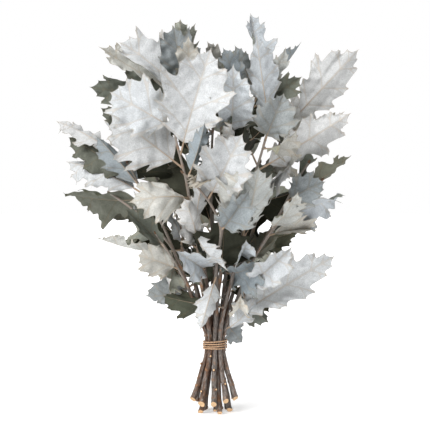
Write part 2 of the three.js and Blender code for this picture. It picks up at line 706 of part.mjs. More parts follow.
function leafOutline(leaf, side) {
  const large = leaf.item <= LAST_FRONT && leaf.width >= LARGE_LEAF_WIDTH;
  const outer = large ? LARGE_OUTLINE : SMALL_OUTLINE;
  const half = leaf.item < FIRST_INNER ? outer : INNER_OUTLINE;
  return half.map(({ s, w }, k) => {
    const lobe = k % 2 === 0;
    const drawn = chance(leaf.item, 10 + 2 * k + (side > 0 ? 1 : 0)) - 0.5;
    const width = 0.5 * leaf.width * w * (1 + (lobe ? LOBE_SPREAD : BAY_SPREAD) * drawn);
    return { s: s + (lobe ? LOBE_SHIFT * drawn : 0), v: side * width };
  });
}

// Both faces of a leaf are split into the same triangles, then closed along the edge.
function leafSolid(leaf, grow = 0) {
  const axes = leafAxes(leaf);
  const points = [];
  const add = (s, v, halfThickness) => {
    const sign = Math.sign(v);
    for (const face of [1, -1]) {
      points.push(leafPoint(leaf, axes, s, v + sign * grow, face * (halfThickness + grow)));
    }
    return points.length / 2 - 1;
  };
  const bays = leafOutline(leaf, 1).filter((_, k) => k % 2);
  const tip = add(1, 0, EDGE_HALF_THICKNESS);
  const ribs = [add(PETIOLE_SHARE, 0, PETIOLE_HALF_THICKNESS)];
  for (const bay of bays) ribs.push(add(bay.s, 0, RIB_HALF_THICKNESS));
  const faces = [];
  const edge = [];
  const petiole = [];
  for (const side of [-1, 1]) {
    const root = add(0, side * PETIOLE_HALF_WIDTH, PETIOLE_HALF_THICKNESS);
    const base = add(PETIOLE_SHARE, side * PETIOLE_HALF_WIDTH, PETIOLE_HALF_THICKNESS);
    const rim = leafOutline(leaf, side).map(({ s, v }) => add(s, v, EDGE_HALF_THICKNESS));
    const half = [];
    for (let lobe = 0; lobe < bays.length; lobe++) {
      const from = lobe ? rim[2 * lobe - 1] : base;
      const point = rim[2 * lobe];
      const to = rim[2 * lobe + 1];
      half.push([ribs[lobe], from, point], [ribs[lobe], point, ribs[lobe + 1]]);
      half.push([ribs[lobe + 1], point, to]);
    }
    half.push([ribs[bays.length], rim[rim.length - 1], tip]);
    const loop = [root, base, ...rim, tip];
    faces.push(...(side > 0 ? half : half.map(([a, b, c]) => [a, c, b])));
    edge.push(...loop.slice(1).map((b, k) => (side > 0 ? [loop[k], b] : [b, loop[k]])));
    petiole.push(root, base);
  }
  const [leftRoot, leftBase, rightRoot, rightBase] = petiole;
  faces.push([leftRoot, rightRoot, leftBase]);
  faces.push([rightRoot, ribs[0], leftBase], [rightRoot, rightBase, ribs[0]]);
  edge.push([leftRoot, rightRoot]);
  const triangles = [];
  for (const [a, b, c] of faces) {
    triangles.push([2 * a, 2 * b, 2 * c], [2 * a + 1, 2 * c + 1, 2 * b + 1]);
  }
  for (const [a, b] of edge) {
    triangles.push([2 * a, 2 * a + 1, 2 * b + 1], [2 * a, 2 * b + 1, 2 * b]);
  }
  return solidOf(geometryFrom(points, triangles));
}

// The piece of a cut solid that lies nearest to a point
function pieceAt(solid, point) {
  const gap = (piece) => {
    const { min, max } = piece.boundingBox();
    return new THREE.Box3(vec(...min), vec(...max)).distanceToPoint(point);
  };
  return solid.decompose().reduce((best, piece) => (gap(piece) < gap(best) ? piece : best));
}

function woodSolid(stem, grow = 0) {
  return twigs
    .filter((twig) => twig.stem === stem)
    .reduce((wood, twig) => wood.add(twigSolid(twig, grow)), stemSolid(stem, grow));
}

// Leaves that still meet the wood or a leaf of another stem are cut back, so that they keep clear
// of it. Of two leaves, the one that loses less is cut.
function clearedLeaves() {
  const cleared = leaves.map((leaf) => {
    const solid = leafSolid(leaf);
    return { leaf, solid, wide: leafSolid(leaf, CLEAR_OF_NEIGHBOUR).add(solid) };
  });
  const without = (a, solid) => pieceAt(a.solid.subtract(solid), a.leaf.root);
  for (const stem of stems) {
    const wood = woodSolid(stem, CLEAR_OF_NEIGHBOUR);
    for (const a of cleared) {
      if (a.leaf.stem !== stem && !a.solid.intersect(wood).isEmpty()) a.solid = without(a, wood);
    }
  }
  const twine = twineSolid(CLEAR_OF_NEIGHBOUR);
  cleared.forEach((a, i) => {
    if (!a.solid.intersect(twine).isEmpty()) a.solid = without(a, twine);
    for (const b of cleared.slice(i + 1)) {
      if (a.leaf.stem === b.leaf.stem || a.solid.intersect(b.wide).isEmpty()) continue;
      const cutA = without(a, b.wide);
      const cutB = without(b, a.wide);
      const aLosesLess = a.solid.volume() - cutA.volume() < b.solid.volume() - cutB.volume();
      if (aLosesLess) a.solid = cutA;
      else b.solid = cutB;
    }
  });
  return cleared;
}

function leafyStems() {
  const cleared = clearedLeaves();
  return stems.map((stem) => {
    const own = cleared.filter((a) => a.leaf.stem === stem);
    const fused = own.reduce((sum, a) => sum.add(a.solid), woodSolid(stem));
    const solid = pieceAt(fused, stem.waist);
    const mesh = new THREE.Mesh(geometryOf(withoutSlivers(solid)), leafMaterial(own));
    mesh.name = `leafy_stem_${String(stem.item + 1).padStart(2, "0")}`;
    return mesh;
  });
}

const LEAF_COLOURS = { w: 0xdfe3e8, k: 0xd2cfc5, b: 0xa3adb4, s: 0x8e938a, d: 0x5a5c50 };

// A leafy stem has the mean colour of its leaves.
function leafMaterial(own) {
  const colour = new THREE.Color(0, 0, 0);
  for (const { leaf } of own) {
    const dye = new THREE.Color(LEAF_COLOURS[leaf.colour]);
    colour.add(dye.multiplyScalar(1 / own.length));
  }
  return new THREE.MeshStandardMaterial({ color: colour, roughness: 0.85, metalness: 0 });
}

// The tie: twine wound round the stems, with its two ends laid over the turns at the back
const TWINE_RADIUS = 0.95;
const TWINE_TURNS = 4;
const TWINE_PITCH = 3.6;
const TWINE_LOW_Z = 102.4;
const TWINE_REACH = 18.75; // radius of the twine's centre line
const TWINE_SIDES = 4;
const STEPS_A_TURN = 16;
const END_STEPS = 5;
const END_SWEEP = 0.9; // radians round the tie
const END_OVERHANG = 5; // past the turns, up or down
const END_LIFT = 1.6; // off the turns that an end crosses
const END_FLARE = 2.5; // further out at its tip

function twineTube(centres, radius) {
  const rings = centres.map((centre, k) => {
    const ahead = centres[Math.min(k + 1, centres.length - 1)].clone();
    ahead.sub(centres[Math.max(k - 1, 0)]).normalize();
    const out = centre.clone().setZ(0);
    out.addScaledVector(ahead, -out.dot(ahead)).normalize();
    const up = ahead.clone().cross(out);
    return Array.from({ length: TWINE_SIDES }, (_, side) => {
      const a = (2 * Math.PI * side) / TWINE_SIDES;
      const p = centre.clone().addScaledVector(out, radius * Math.cos(a));
      return p.addScaledVector(up, radius * Math.sin(a));
    });
  });
  return solidOf(tubeThrough(rings));
}

function aroundTie(angle, reach, z) {
  return vec(reach * Math.cos(angle), reach * Math.sin(angle), z);
}

function twineSolid(grow = 0) {
  const radius = TWINE_RADIUS + grow;
  const back = Math.PI / 2;
  const highZ = TWINE_LOW_Z + TWINE_TURNS * TWINE_PITCH;
  const turns = [];
  for (let k = 0; k <= TWINE_TURNS * STEPS_A_TURN; k++) {
    const t = k / STEPS_A_TURN;
    turns.push(aroundTie(back + 2 * Math.PI * t, TWINE_REACH, TWINE_LOW_Z + TWINE_PITCH * t));
  }
  // Each end lifts onto the turns, crosses them on the slant and stands out past them.
  const endPath = (fromZ, toZ, sweep) => {
    const centres = [];
    for (let k = 0; k <= END_STEPS; k++) {
      const t = k / END_STEPS;
      const lift = END_LIFT * Math.sin(Math.PI * Math.min(0.5, 1.6 * t)) + END_FLARE * t * t;
      centres.push(aroundTie(back + sweep * t, TWINE_REACH + lift, fromZ + (toZ - fromZ) * t));
    }
    return centres;
  };
  return twineTube(turns, radius)
    .add(twineTube(endPath(TWINE_LOW_Z, highZ + END_OVERHANG, END_SWEEP), radius))
    .add(twineTube(endPath(highZ, TWINE_LOW_Z - END_OVERHANG, -END_SWEEP), radius));
}

function twineTie() {
  const material = new THREE.MeshStandardMaterial({ color: 0xb98f6c, roughness: 0.95, metalness: 0 });
  const mesh = new THREE.Mesh(geometryOf(withoutSlivers(twineSolid())), material);
  mesh.name = "twine_tie";
  return mesh;
}

const bunch = new THREE.Group();
bunch.add(...leafyStems(), twineTie());
export default bunch;
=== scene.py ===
import math
from types import SimpleNamespace

import bpy
import numpy as np
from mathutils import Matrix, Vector
from mathutils.geometry import delaunay_2d_cdt
from numpy.linalg import norm


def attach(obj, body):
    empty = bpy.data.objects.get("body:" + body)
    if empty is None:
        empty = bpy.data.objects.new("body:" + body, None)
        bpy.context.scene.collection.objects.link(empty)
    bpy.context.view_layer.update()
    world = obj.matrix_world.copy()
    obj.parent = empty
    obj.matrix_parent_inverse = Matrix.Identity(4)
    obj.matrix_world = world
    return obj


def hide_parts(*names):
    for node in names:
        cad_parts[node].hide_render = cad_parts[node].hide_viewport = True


# A bunch of dyed red oak stems, tied with twine and standing on its cut ends.
# The layout is worked out in millimetres, and each mesh is written in metres.
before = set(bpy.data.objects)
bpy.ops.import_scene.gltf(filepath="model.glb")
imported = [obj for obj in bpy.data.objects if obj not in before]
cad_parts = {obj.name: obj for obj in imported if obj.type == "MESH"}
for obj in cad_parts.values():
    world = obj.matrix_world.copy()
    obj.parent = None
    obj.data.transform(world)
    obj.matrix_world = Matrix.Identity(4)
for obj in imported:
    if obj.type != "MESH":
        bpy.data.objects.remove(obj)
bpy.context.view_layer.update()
MM = 0.001
TURN = 2 * math.pi

# Driving dimensions of the stems
WAIST_Z = 110
TIE_HALF_HEIGHT = 8
WAIST_SOFTNESS = 10
TIP_RADIUS = 1.7
EARLY_SPREAD = 0.78
STEM_WOBBLE = 3
MIDDLE_RADII = (3.4, 2.5)  # of a stem, at its foot and in the tie
MIDDLE_TIP = (-6, 8, 540)
THICK_RADII = (5.4, 3.6)
THICK_STEM = 12  # item number of the thickest stem
# How far out the foot of each stem of a ring lies, and how high
INNER_FEET = [(24, 0), (24, 0), (24, 0), (27, 0), (27, 0)]
OUTER_FEET = [(33, 22), (31, 0), (33, 0), (31, 0), (32, 20)]
OUTER_FEET += [(36, 22), (34, 17), (34, 18), (33, 22), (35, 24)]
# The rings of stems: their radius in the tie, first angle, turns of the feet and of the tips, the
# stems' radii, half width, half depth and height of the even and the odd tips, and the feet
RINGS = [
    (6.5, 0, -3, 8, (4.7, 3.6), [(66, 52, 515), (66, 52, 503)], INNER_FEET),
    (13.4, 18, -4, 6, (4.9, 3.6), [(128, 104, 462), (150, 118, 400)], OUTER_FEET),
]
FOOT_BEVEL = 0.72  # rise of the cut face of a stem that stands on the floor
SIDE_BEVEL = 0.45  # slope outwards of the cut face of a stem that is cut short
SHORT_BEVEL = 0.62  # and its slope towards the nearer of the front and the back
BEVEL_SHARES = (1, 0.75, 0.45, 0.2)  # how much of the slope the lowest rings of a stem take

# Driving dimensions of the leaves
PETIOLE_SHARE = 0.14
PETIOLE_HALF_WIDTH = 1.3
WAVES = 2.5
LEAST_WAVE = 2.5
MORE_WAVE = 4.5
ROLL_SPREAD = 16  # degrees either way, for the large front leaves
WIDER_ROLL_SPREAD = 34  # for the others
LEAST_FOLD = 12
MORE_FOLD = 48
LEAST_CURL = 0.03
MORE_CURL = 0.12
FOLDED_UP = 0.62  # share of the leaves whose halves fold towards the face
TWIST_SPREAD = 46
BROADER = 1.08
INNER_LEAVES = 15
FIRST_INNER = 400  # item number of the first leaf inside the crown
INNER_LOW_Z = 262
INNER_HIGH_Z = 540
INNER_RISE = 86
INNER_TIP_REACH = 0.5
INNER_ROOT_REACH = 0.25
INNER_WIDTH = 96
INNER_ARCH = 8
INNER_ROLL_SPREAD = 40
LAST_FRONT = 20  # item number of the last of the large front leaves, which settling moves least
FRONT_HOLD = 0.4
HOME_PULL = 0.03  # share of the way back to its first place that a leaf's tip is drawn in a pass
GOLDEN_ANGLE = 137.5

# Heights in the crown, with its half width and half depth there
CROWN = [(110, 40, 24), (150, 60, 50), (200, 110, 85), (300, 165, 130), (400, 240, 160)]
CROWN += [(500, 220, 155), (580, 195, 120), (640, 90, 50)]
LAYER_STEP = 26
ROOT_DEPTH = 40
SIGHT_DISTANCE = 2300
SIGHT_Z = 400
DEPTH_WEIGHT = 0.25
CROWDING = 70
FIRST_SITE, SITE_STEP = 18, 6  # where leaves may grow, in mm up a stem from the tie
FIRST_TWIG_SITE, TWIG_SITE_STEP = 0.3, 0.08  # and in shares of a twig
FRONT_FREEDOM = np.array([0.35, 1, 0.35])
ALL_FREEDOM = np.ones(3)
CLEAR_WAY = [0.08, 0.14, 0.2, 0.28]


def chance(item, channel):
    """A repeatable draw from 0 to 1 for item number `item`, one for each `channel`."""
    v = math.sin(item * 12.9898 + channel * 78.233) * 43758.5453
    return v - math.floor(v)


def spread(item, channel, reach):
    return (2 * chance(item, channel) - 1) * reach


def lerp(a, b, t):
    return a + (b - a) * t


def vec(x, y, z):
    return np.array([x, y, z], float)


def vec2(x, y):
    return np.array([x, y], float)


def unit(v):
    return v / norm(v, axis=-1, keepdims=True)


def bow(a, b, c, t):
    """A curve from a to c that leans towards b."""
    return (1 - t) ** 2 * a + 2 * (1 - t) * t * b + t * t * c


def softened(d):
    return math.hypot(max(abs(d) - TIE_HALF_HEIGHT, 0), WAIST_SOFTNESS) - WAIST_SOFTNESS


# Stems

def polar(degrees, radius, z):
    a = math.radians(degrees)
    return vec(radius * math.cos(a), radius * math.sin(a), z)


def stem_list():
    made = []

    def add(waist, foot, tip, radii):
        radius, tied = radii
        one = SimpleNamespace(waist=waist, foot=foot, tip=tip, radius=radius, tied=tied)
        one.item = len(made)
        made.append(one)

    add(vec(0, 0, WAIST_Z), vec(0, 0, 0), vec(*MIDDLE_TIP), MIDDLE_RADII)
    for ring, first, foot_turn, tip_turn, radii, tips, feet in RINGS:
        for k, (reach, z) in enumerate(feet):
            angle = first + 360 / len(feet) * k
            foot = polar(angle + foot_turn, reach, z)
            tip = polar(angle + tip_turn, 1, 1) * tips[k % 2]
            thick = THICK_RADII if len(made) == THICK_STEM else radii
            add(polar(angle, ring, WAIST_Z), foot, tip, thick)
    return made


def stem_point(stem, z):
    end = stem.foot if z < WAIST_Z else stem.tip
    reach = softened(z - WAIST_Z) / softened(end[2] - WAIST_Z)
    share = reach if z < WAIST_Z else EARLY_SPREAD * reach + (1 - EARLY_SPREAD) * reach * reach
    point = lerp(stem.waist, end, share)
    if z > WAIST_Z:
        sway = STEM_WOBBLE * 4 * reach * (1 - reach)
        point[0] += sway * math.sin(7 * reach + 6 * chance(stem.item, 1))
        point[1] += sway * math.sin(6 * reach + 6 * chance(stem.item, 2))
    point[2] = z
    return point


def stem_radius(stem, z):
    if z < WAIST_Z:
        return lerp(stem.radius, stem.tied, (z - stem.foot[2]) / (WAIST_Z - stem.foot[2]))
    return lerp(stem.tied, TIP_RADIUS, (z - WAIST_Z) / (stem.tip[2] - WAIST_Z))


TWIG_RISE = 100
TWIG_RADIUS = 2.1
TWIG_LEAD = 30  # the length of its stem that sets a twig's first direction
TWIG_BEND = 1.4
TWIG_TIPS = [(-165, -30, 352), (168, -25, 372), (-92, -64, 290), (84, -58, 250)]
TWIG_TIPS += [(-48, -128, 385), (42, -132, 405), (-128, 62, 334), (140, 42, 345)]
TWIG_TIPS += [(50, 122, 380), (-46, 126, 400)]
stems = stem_list()


def nearest_stem(point, z):
    tall = [stem for stem in stems if z < stem.tip[2]]
    return min(tall, key=lambda stem: norm(stem_point(stem, z)[:2] - point[:2]))


def twig_list():
    made = []
    for x, y, tip_z in TWIG_TIPS:
        tip, z = vec(x, y, tip_z), tip_z - TWIG_RISE
        stem = nearest_stem(tip, z)
        start = stem_point(stem, z)
        bend = start + (stem_point(stem, z + TWIG_LEAD) - start) * TWIG_BEND
        made.append(SimpleNamespace(stem=stem, tip=tip, start=start, bend=bend))
    return made


twigs = twig_list()


def twig_point(twig, t):
    return bow(twig.start, twig.bend, twig.tip, t)


def leaf_sites():
    places = []
    for stem in stems:
        z = WAIST_Z + FIRST_SITE
        while z < stem.tip[2]:
            places.append((stem, stem_point(stem, z)))
            z += SITE_STEP
    for twig in twigs:
        t = FIRST_TWIG_SITE
        while t <= 1:
            places.append((twig.stem, twig_point(twig, t)))
            t += TWIG_SITE_STEP
    return [SimpleNamespace(stem=stem, point=point, taken=False) for stem, point in places]


# The leaves of the front, as the photo shows them: x and z of the root and of the tip, width, how
# many layers deep, roll in degrees, arch, and the kind of dye
LEAF_TABLE = """
-72 407 -6 580 100 0 0 10 w
-62 453 -165 512 88 0 -5 12 w
-82 385 -165 478 100 1 5 8 w
-2 350 48 436 84 0 0 6 w
73 487 66 602 84 1 0 8 w
20 440 34 556 70 1 0 16 w
-45 335 -135 338 82 0 10 20 k
80 438 112 506 74 1 0 8 b
75 380 218 476 68 1 5 6 w
122 473 228 580 76 2 0 -8 w
30 142 184 260 68 0 0 8 w
0 222 -24 134 60 0 0 10 w
-32 226 -84 294 66 1 5 6 w
12 222 88 247 66 1 25 10 b
-15 295 48 384 64 0 30 10 k
20 296 52 360 60 1 10 8 b
-35 300 -20 400 52 1 0 8 w
50 280 63 390 76 1 20 12 k
-25 290 23 226 42 0 20 14 w
-38 278 -63 346 46 1 10 8 w
-22 272 -56 314 44 2 0 8 w
-112 352 -246 406 56 1 20 10 w
-105 345 -215 354 82 2 -10 8 s
-100 300 -193 331 48 3 10 6 s
-110 380 -232 438 58 2 -15 8 s
-95 370 -190 441 62 2 30 10 b
-130 420 -250 466 46 2 35 8 w
-130 430 -182 488 44 3 30 4 s
-85 505 -152 594 74 1 0 14 w
-110 530 -184 584 46 2 40 -8 k
-105 545 -198 513 60 3 0 6 s
-80 503 -66 613 76 2 0 8 b
-46 528 -42 606 44 1 20 8 k
-38 543 -12 592 40 2 35 6 k
5 520 14 581 44 2 20 10 b
45 530 28 588 44 3 20 8 b
68 515 60 640 52 3 30 6 w
98 522 136 591 40 3 40 4 b
88 515 113 582 36 2 55 6 k
100 490 141 534 48 3 20 12 s
115 465 197 490 52 3 25 8 k
50 428 124 459 40 1 40 8 k
105 365 208 414 50 3 40 8 s
92 350 173 369 60 2 10 8 b
85 383 124 440 52 3 10 8 k
98 368 122 403 34 3 0 8 w
80 298 136 360 48 2 25 6 k
84 284 160 298 46 2 10 12 k
68 205 122 292 58 1 10 10 w
40 248 58 292 46 1 0 6 w
50 243 100 276 52 3 0 8 s
22 138 60 182 42 1 25 12 w
20 150 43 113 40 2 0 8 b
-60 228 -122 250 58 1 10 10 k
-48 205 -110 213 70 2 0 10 b
-48 200 -48 154 42 3 10 8 b
-75 265 -142 325 48 1 25 8 s
-80 262 -133 271 48 3 10 8 s
-48 268 -90 334 40 2 50 8 w
-20 396 -14 464 42 1 10 8 b
-25 404 -64 384 50 2 15 8 b
-20 400 -40 368 30 1 20 6 k
40 428 38 500 56 3 5 6 s
12 430 -3 465 36 1 20 14 w
20 212 32 291 54 3 15 8 s
-2 228 -18 274 42 2 20 8 s
105 432 139 459 42 4 10 10 s
62 365 100 398 46 4 0 6 s
45 175 62 210 40 1 20 12 k
"""
LEAST_REPEATED_WIDTH = 41
LOWEST_REPEATED_TIP = 150
# The front's leaves come again at these turns: those that lie within a half width, and lower
OTHER_SIDES = [(180, 150, 18), (90, 56, 30), (-90, 56, 42)]


def leaf_rows():
    rows = [line.split() for line in LEAF_TABLE.strip().split("\n")]
    return [(*map(int, row[:-1]), row[-1]) for row in rows]


def crown_size(z):
    after = next((k for k, row in enumerate(CROWN) if row[0] >= z), len(CROWN) - 1)
    b = CROWN[max(after, 1)]
    a = CROWN[max(after, 1) - 1]
    t = min(max((z - a[0]) / (b[0] - a[0]), 0), 1)
    return lerp(a[1], b[1], t), lerp(a[2], b[2], t)


def crown_depth(x, z):
    wide, deep = crown_size(z)
    return deep * math.sqrt(max(0, 1 - (x / wide) ** 2))


def on_sight_line(x, z, y):
    share = (SIGHT_DISTANCE + y) / SIGHT_DISTANCE
    return vec(x * share, y, SIGHT_Z + (z - SIGHT_Z) * share)


def turned(p, degrees):
    a = math.radians(degrees)
    c, s = math.cos(a), math.sin(a)
    return vec(c * p[0] - s * p[1], s * p[0] + c * p[1], p[2])


def has_clear_way(site, tip):
    for share in CLEAR_WAY:
        p = lerp(site.point, tip, share)
        for stem in stems:
            if stem is site.stem or p[2] >= stem.tip[2]:
                continue
            gap = norm(stem_point(stem, p[2]) - p)
            if gap <= stem_radius(stem, p[2]) + 2 * PETIOLE_HALF_WIDTH:
                return False
    return True


def leaf_list():
    sites = leaf_sites()
    points = np.array([site.point for site in sites])
    owners = np.array([site.stem.item for site in sites])
    rows = leaf_rows()
    made = []

    def place(item, wish, tip, sight, width, roll, arch, colour, freedom):
        crowd = np.bincount([leaf.stem.item for leaf in made], minlength=len(stems))[owners]
        d = points - wish
        miss = (d * d).sum(1) - (1 - DEPTH_WEIGHT) * (d @ sight) ** 2 + CROWDING * crowd
        order = [sites[k] for k in np.argsort(miss, kind="stable") if not sites[k].taken]
        site = next((s for s in order if has_clear_way(s, tip)), order[0])
        site.taken = True
        up = 1 if chance(item, 7) < FOLDED_UP else -1
        fold = LEAST_FOLD + MORE_FOLD * chance(item, 2) ** 2
        roll_spread = ROLL_SPREAD if item <= LAST_FRONT else WIDER_ROLL_SPREAD
        leaf = SimpleNamespace(item=item, stem=site.stem, root=site.point, tip=tip, sight=sight)
        leaf.width, leaf.arch, leaf.colour, leaf.freedom = width, arch, colour, freedom
        leaf.roll = math.radians(roll + spread(item, 1, roll_spread))
        leaf.fold = math.radians(up * fold)
        leaf.curl = up * width * (LEAST_CURL + MORE_CURL * chance(item, 9))
        leaf.twist = math.radians(spread(item, 3, TWIST_SPREAD))
        leaf.wave = LEAST_WAVE + MORE_WAVE * chance(item, 4)
        leaf.phases = (chance(item, 5), chance(item, 6))
        made.append(leaf)

    def place_row(row, item, turn, lower):
        root_x, root_z, tip_x, tip_z, width, layer, roll, arch, colour = row
        tip = on_sight_line(tip_x, tip_z, layer * LAYER_STEP - crown_depth(tip_x, tip_z))
        deep = ROOT_DEPTH + layer * LAYER_STEP - crown_depth(root_x, root_z)
        wish = on_sight_line(root_x, root_z, deep)
        tip = turned(tip, turn) - [0, 0, lower]
        wish = turned(wish, turn) - [0, 0, lower]
        sight = turned(vec(0, -1, 0), turn)
        freedom = FRONT_FREEDOM if turn == 0 else ALL_FREEDOM
        freedom = freedom * (FRONT_HOLD if item <= LAST_FRONT else 1)
        place(item, wish, tip, sight, width * BROADER, roll, arch, colour, freedom)

    for item, row in enumerate(rows):
        place_row(row, item, 0, 0)
    for s, (turn, half_width, lower) in enumerate(OTHER_SIDES):
        for item, row in enumerate(rows):
            low = row[3] - lower < LOWEST_REPEATED_TIP
            fits = abs(row[2]) < half_width and row[4] > LEAST_REPEATED_WIDTH and not low
            if fits and item % 2 == s % 2:
                place_row(row, item + 100 * (s + 1), turn, lower)
    for k in range(INNER_LEAVES):
        item = FIRST_INNER + k
        z = lerp(INNER_LOW_Z, INNER_HIGH_Z, (k + 0.5) / INNER_LEAVES)
        out = polar(GOLDEN_ANGLE * k, 1, 0)
        girth = np.array([*crown_size(z), 0])
        tip = out * girth * INNER_TIP_REACH + [0, 0, z]
        wish = out * girth * INNER_ROOT_REACH + [0, 0, z - INNER_RISE]
        roll = spread(item, 8, INNER_ROLL_SPREAD)
        # The inner leaves take the darkest dye, d, which is partly painted shade for the crown's
        # dark inside
        place(item, wish, tip, out, INNER_WIDTH, roll, INNER_ARCH, "d", ALL_FREEDOM)
    return made


# Settling: where leaves meet, they are swung apart about their roots. Each half of a blade counts
# as two flat plates, and a length of wood as a square rod.
SETTLE_PASSES = 80
SETTLE_EASE = 0.6
MOST_SWING = 5
PLATE_HALF_THICKNESS = 2.4
PLATE_SPANS = [(0.2, 0.6, 0.7), (0.6, 0.98, 0.72)]
ROD_SPAN = 50
ROD_MARGIN = 1.5
PUSH_FROM_LEAF = 0.5
PUSH_FROM_WOOD = 0.7
LEAF_MIDDLE, LEAF_REACH = 0.6, 0.55  # a ball about a leaf, in shares of its length
PLATES = range(4)


def gathered(leaves):
    """The leaves' values as arrays, one row for each leaf."""
    names = "root tip sight width roll arch fold curl twist wave phases freedom".split()
    rows = {name: np.array([getattr(leaf, name) for leaf in leaves], float) for name in names}
    many = SimpleNamespace(**rows)
    many.length = norm(many.tip - many.root, axis=-1)
    return many


def leaf_axes(leaf):
    """Along the leaf, across it and out of its face. Works on one leaf or on arrays of them."""
    along = unit(leaf.tip - leaf.root)
    face = unit(leaf.sight - along * (leaf.sight * along).sum(-1, keepdims=True))
    roll = np.asarray(leaf.roll)[..., None]
    face = face * np.cos(roll) + np.cross(along, face) * np.sin(roll)
    return along, face, np.cross(along, face)


def leaf_points(leaf, axes, s, v, lift=0.0):
    """Points of a leaf: s from the root at 0 to the tip at 1, v from the midrib with its sign."""
    along, face, across = axes
    s, v = np.broadcast_arrays(np.asarray(s, float), np.asarray(v, float))
    col = lambda a: np.asarray(a)[..., None]
    forward = unit(along + face * col(4 * leaf.arch * (1 - 2 * s) / leaf.length))
    normal = np.cross(np.broadcast_to(across, forward.shape), forward)
    turn = col(leaf.twist * (s - 0.5))
    side = across * np.cos(turn) + normal * np.sin(turn)
    out = normal * np.cos(turn) - across * np.sin(turn)
    a = np.abs(v)
    phases = np.asarray(leaf.phases)
    phase = np.where(v > 0, phases[..., 1], phases[..., 0])
    wave = leaf.wave * (a / (0.5 * leaf.width)) * np.sin(TURN * (WAVES * s + phase))
    middle = leaf.root + (leaf.tip - leaf.root) * col(s) + face * col(leaf.arch * 4 * s * (1 - s))
    rise = a * np.sin(leaf.fold) + leaf.curl * (a / (0.5 * leaf.width)) ** 2 + wave + lift
    return middle + side * col(v * np.cos(leaf.fold)) + out * col(rise)


def plates_of(many):
    axes = leaf_axes(many)
    centres, frames, halves, levers = [], [], [], []
    count = len(many.length)
    for start, end, fill in PLATE_SPANS:
        middle = (start + end) / 2
        reach = 0.5 * many.width * fill
        at = lambda s, v: leaf_points(many, axes, np.full(count, s), v)
        u = unit(at(end, np.zeros(count)) - at(start, np.zeros(count)))
        for side in (-1, 1):
            rib = at(middle, np.zeros(count))
            edge = at(middle, side * reach)
            w = unit(edge - rib)
            centres.append((rib + edge) / 2)
            frames.append(np.stack([u, w, unit(np.cross(u, w))], 1))
            thin = np.full(count, PLATE_HALF_THICKNESS)
            halves.append(np.stack([many.length * (end - start) / 2, reach / 2, thin], 1))
            levers.append(np.full(count, middle))
    return [np.stack(rows, 1) for rows in (centres, frames, halves, levers)]


def wood_rods():
    centres, frames, halves, owners = [], [], [], []

    def add(stem, a, b, radius):
        u = unit(b - a)
        w = unit(np.cross([0, 1, 0], u))
        centres.append((a + b) / 2)
        frames.append([u, w, np.cross(u, w)])
        halves.append([norm(b - a) / 2, radius, radius])
        owners.append(stem.item)

    for stem in stems:
        z = WAIST_Z
        while z + ROD_SPAN / 2 < stem.tip[2]:
            top = min(z + ROD_SPAN, stem.tip[2])
            add(stem, stem_point(stem, z), stem_point(stem, top), stem_radius(stem, z) + ROD_MARGIN)
            z += ROD_SPAN
    for twig in twigs:
        for t in (0, 1 / 3, 2 / 3):
            a, b = twig_point(twig, t), twig_point(twig, t + 1 / 3)
            add(twig.stem, a, b, TWIG_RADIUS + ROD_MARGIN)
    return [np.array(rows) for rows in (centres, frames, halves, owners)]


def least_moves(ca, fa, ha, cb, fb, hb):
    """The shortest moves that take boxes a out of boxes b, and which pairs meet at all."""
    crossed = np.cross(fa[:, :, None, :], fb[:, None, :, :]).reshape(len(ca), 9, 3)
    axes = np.concatenate([fa, fb, crossed], 1)
    size = norm(axes, axis=-1)
    real = size >= 0.05
    n = axes / np.where(real, size, 1)[..., None]
    reach = lambda f, h: (np.abs(np.einsum("pkc,pnc->pnk", f, n)) * h[:, None, :]).sum(-1)
    offset = np.einsum("pc,pnc->pn", cb - ca, n)
    overlap = np.where(real, reach(fa, ha) + reach(fb, hb) - np.abs(offset), np.inf)
    meets = (overlap > 0).all(1)
    best = overlap.argmin(1)
    rows = np.arange(len(ca))
    sign = np.where(offset[rows, best] > 0, -1.0, 1.0)
    return n[rows, best] * (sign * overlap[rows, best])[:, None], meets


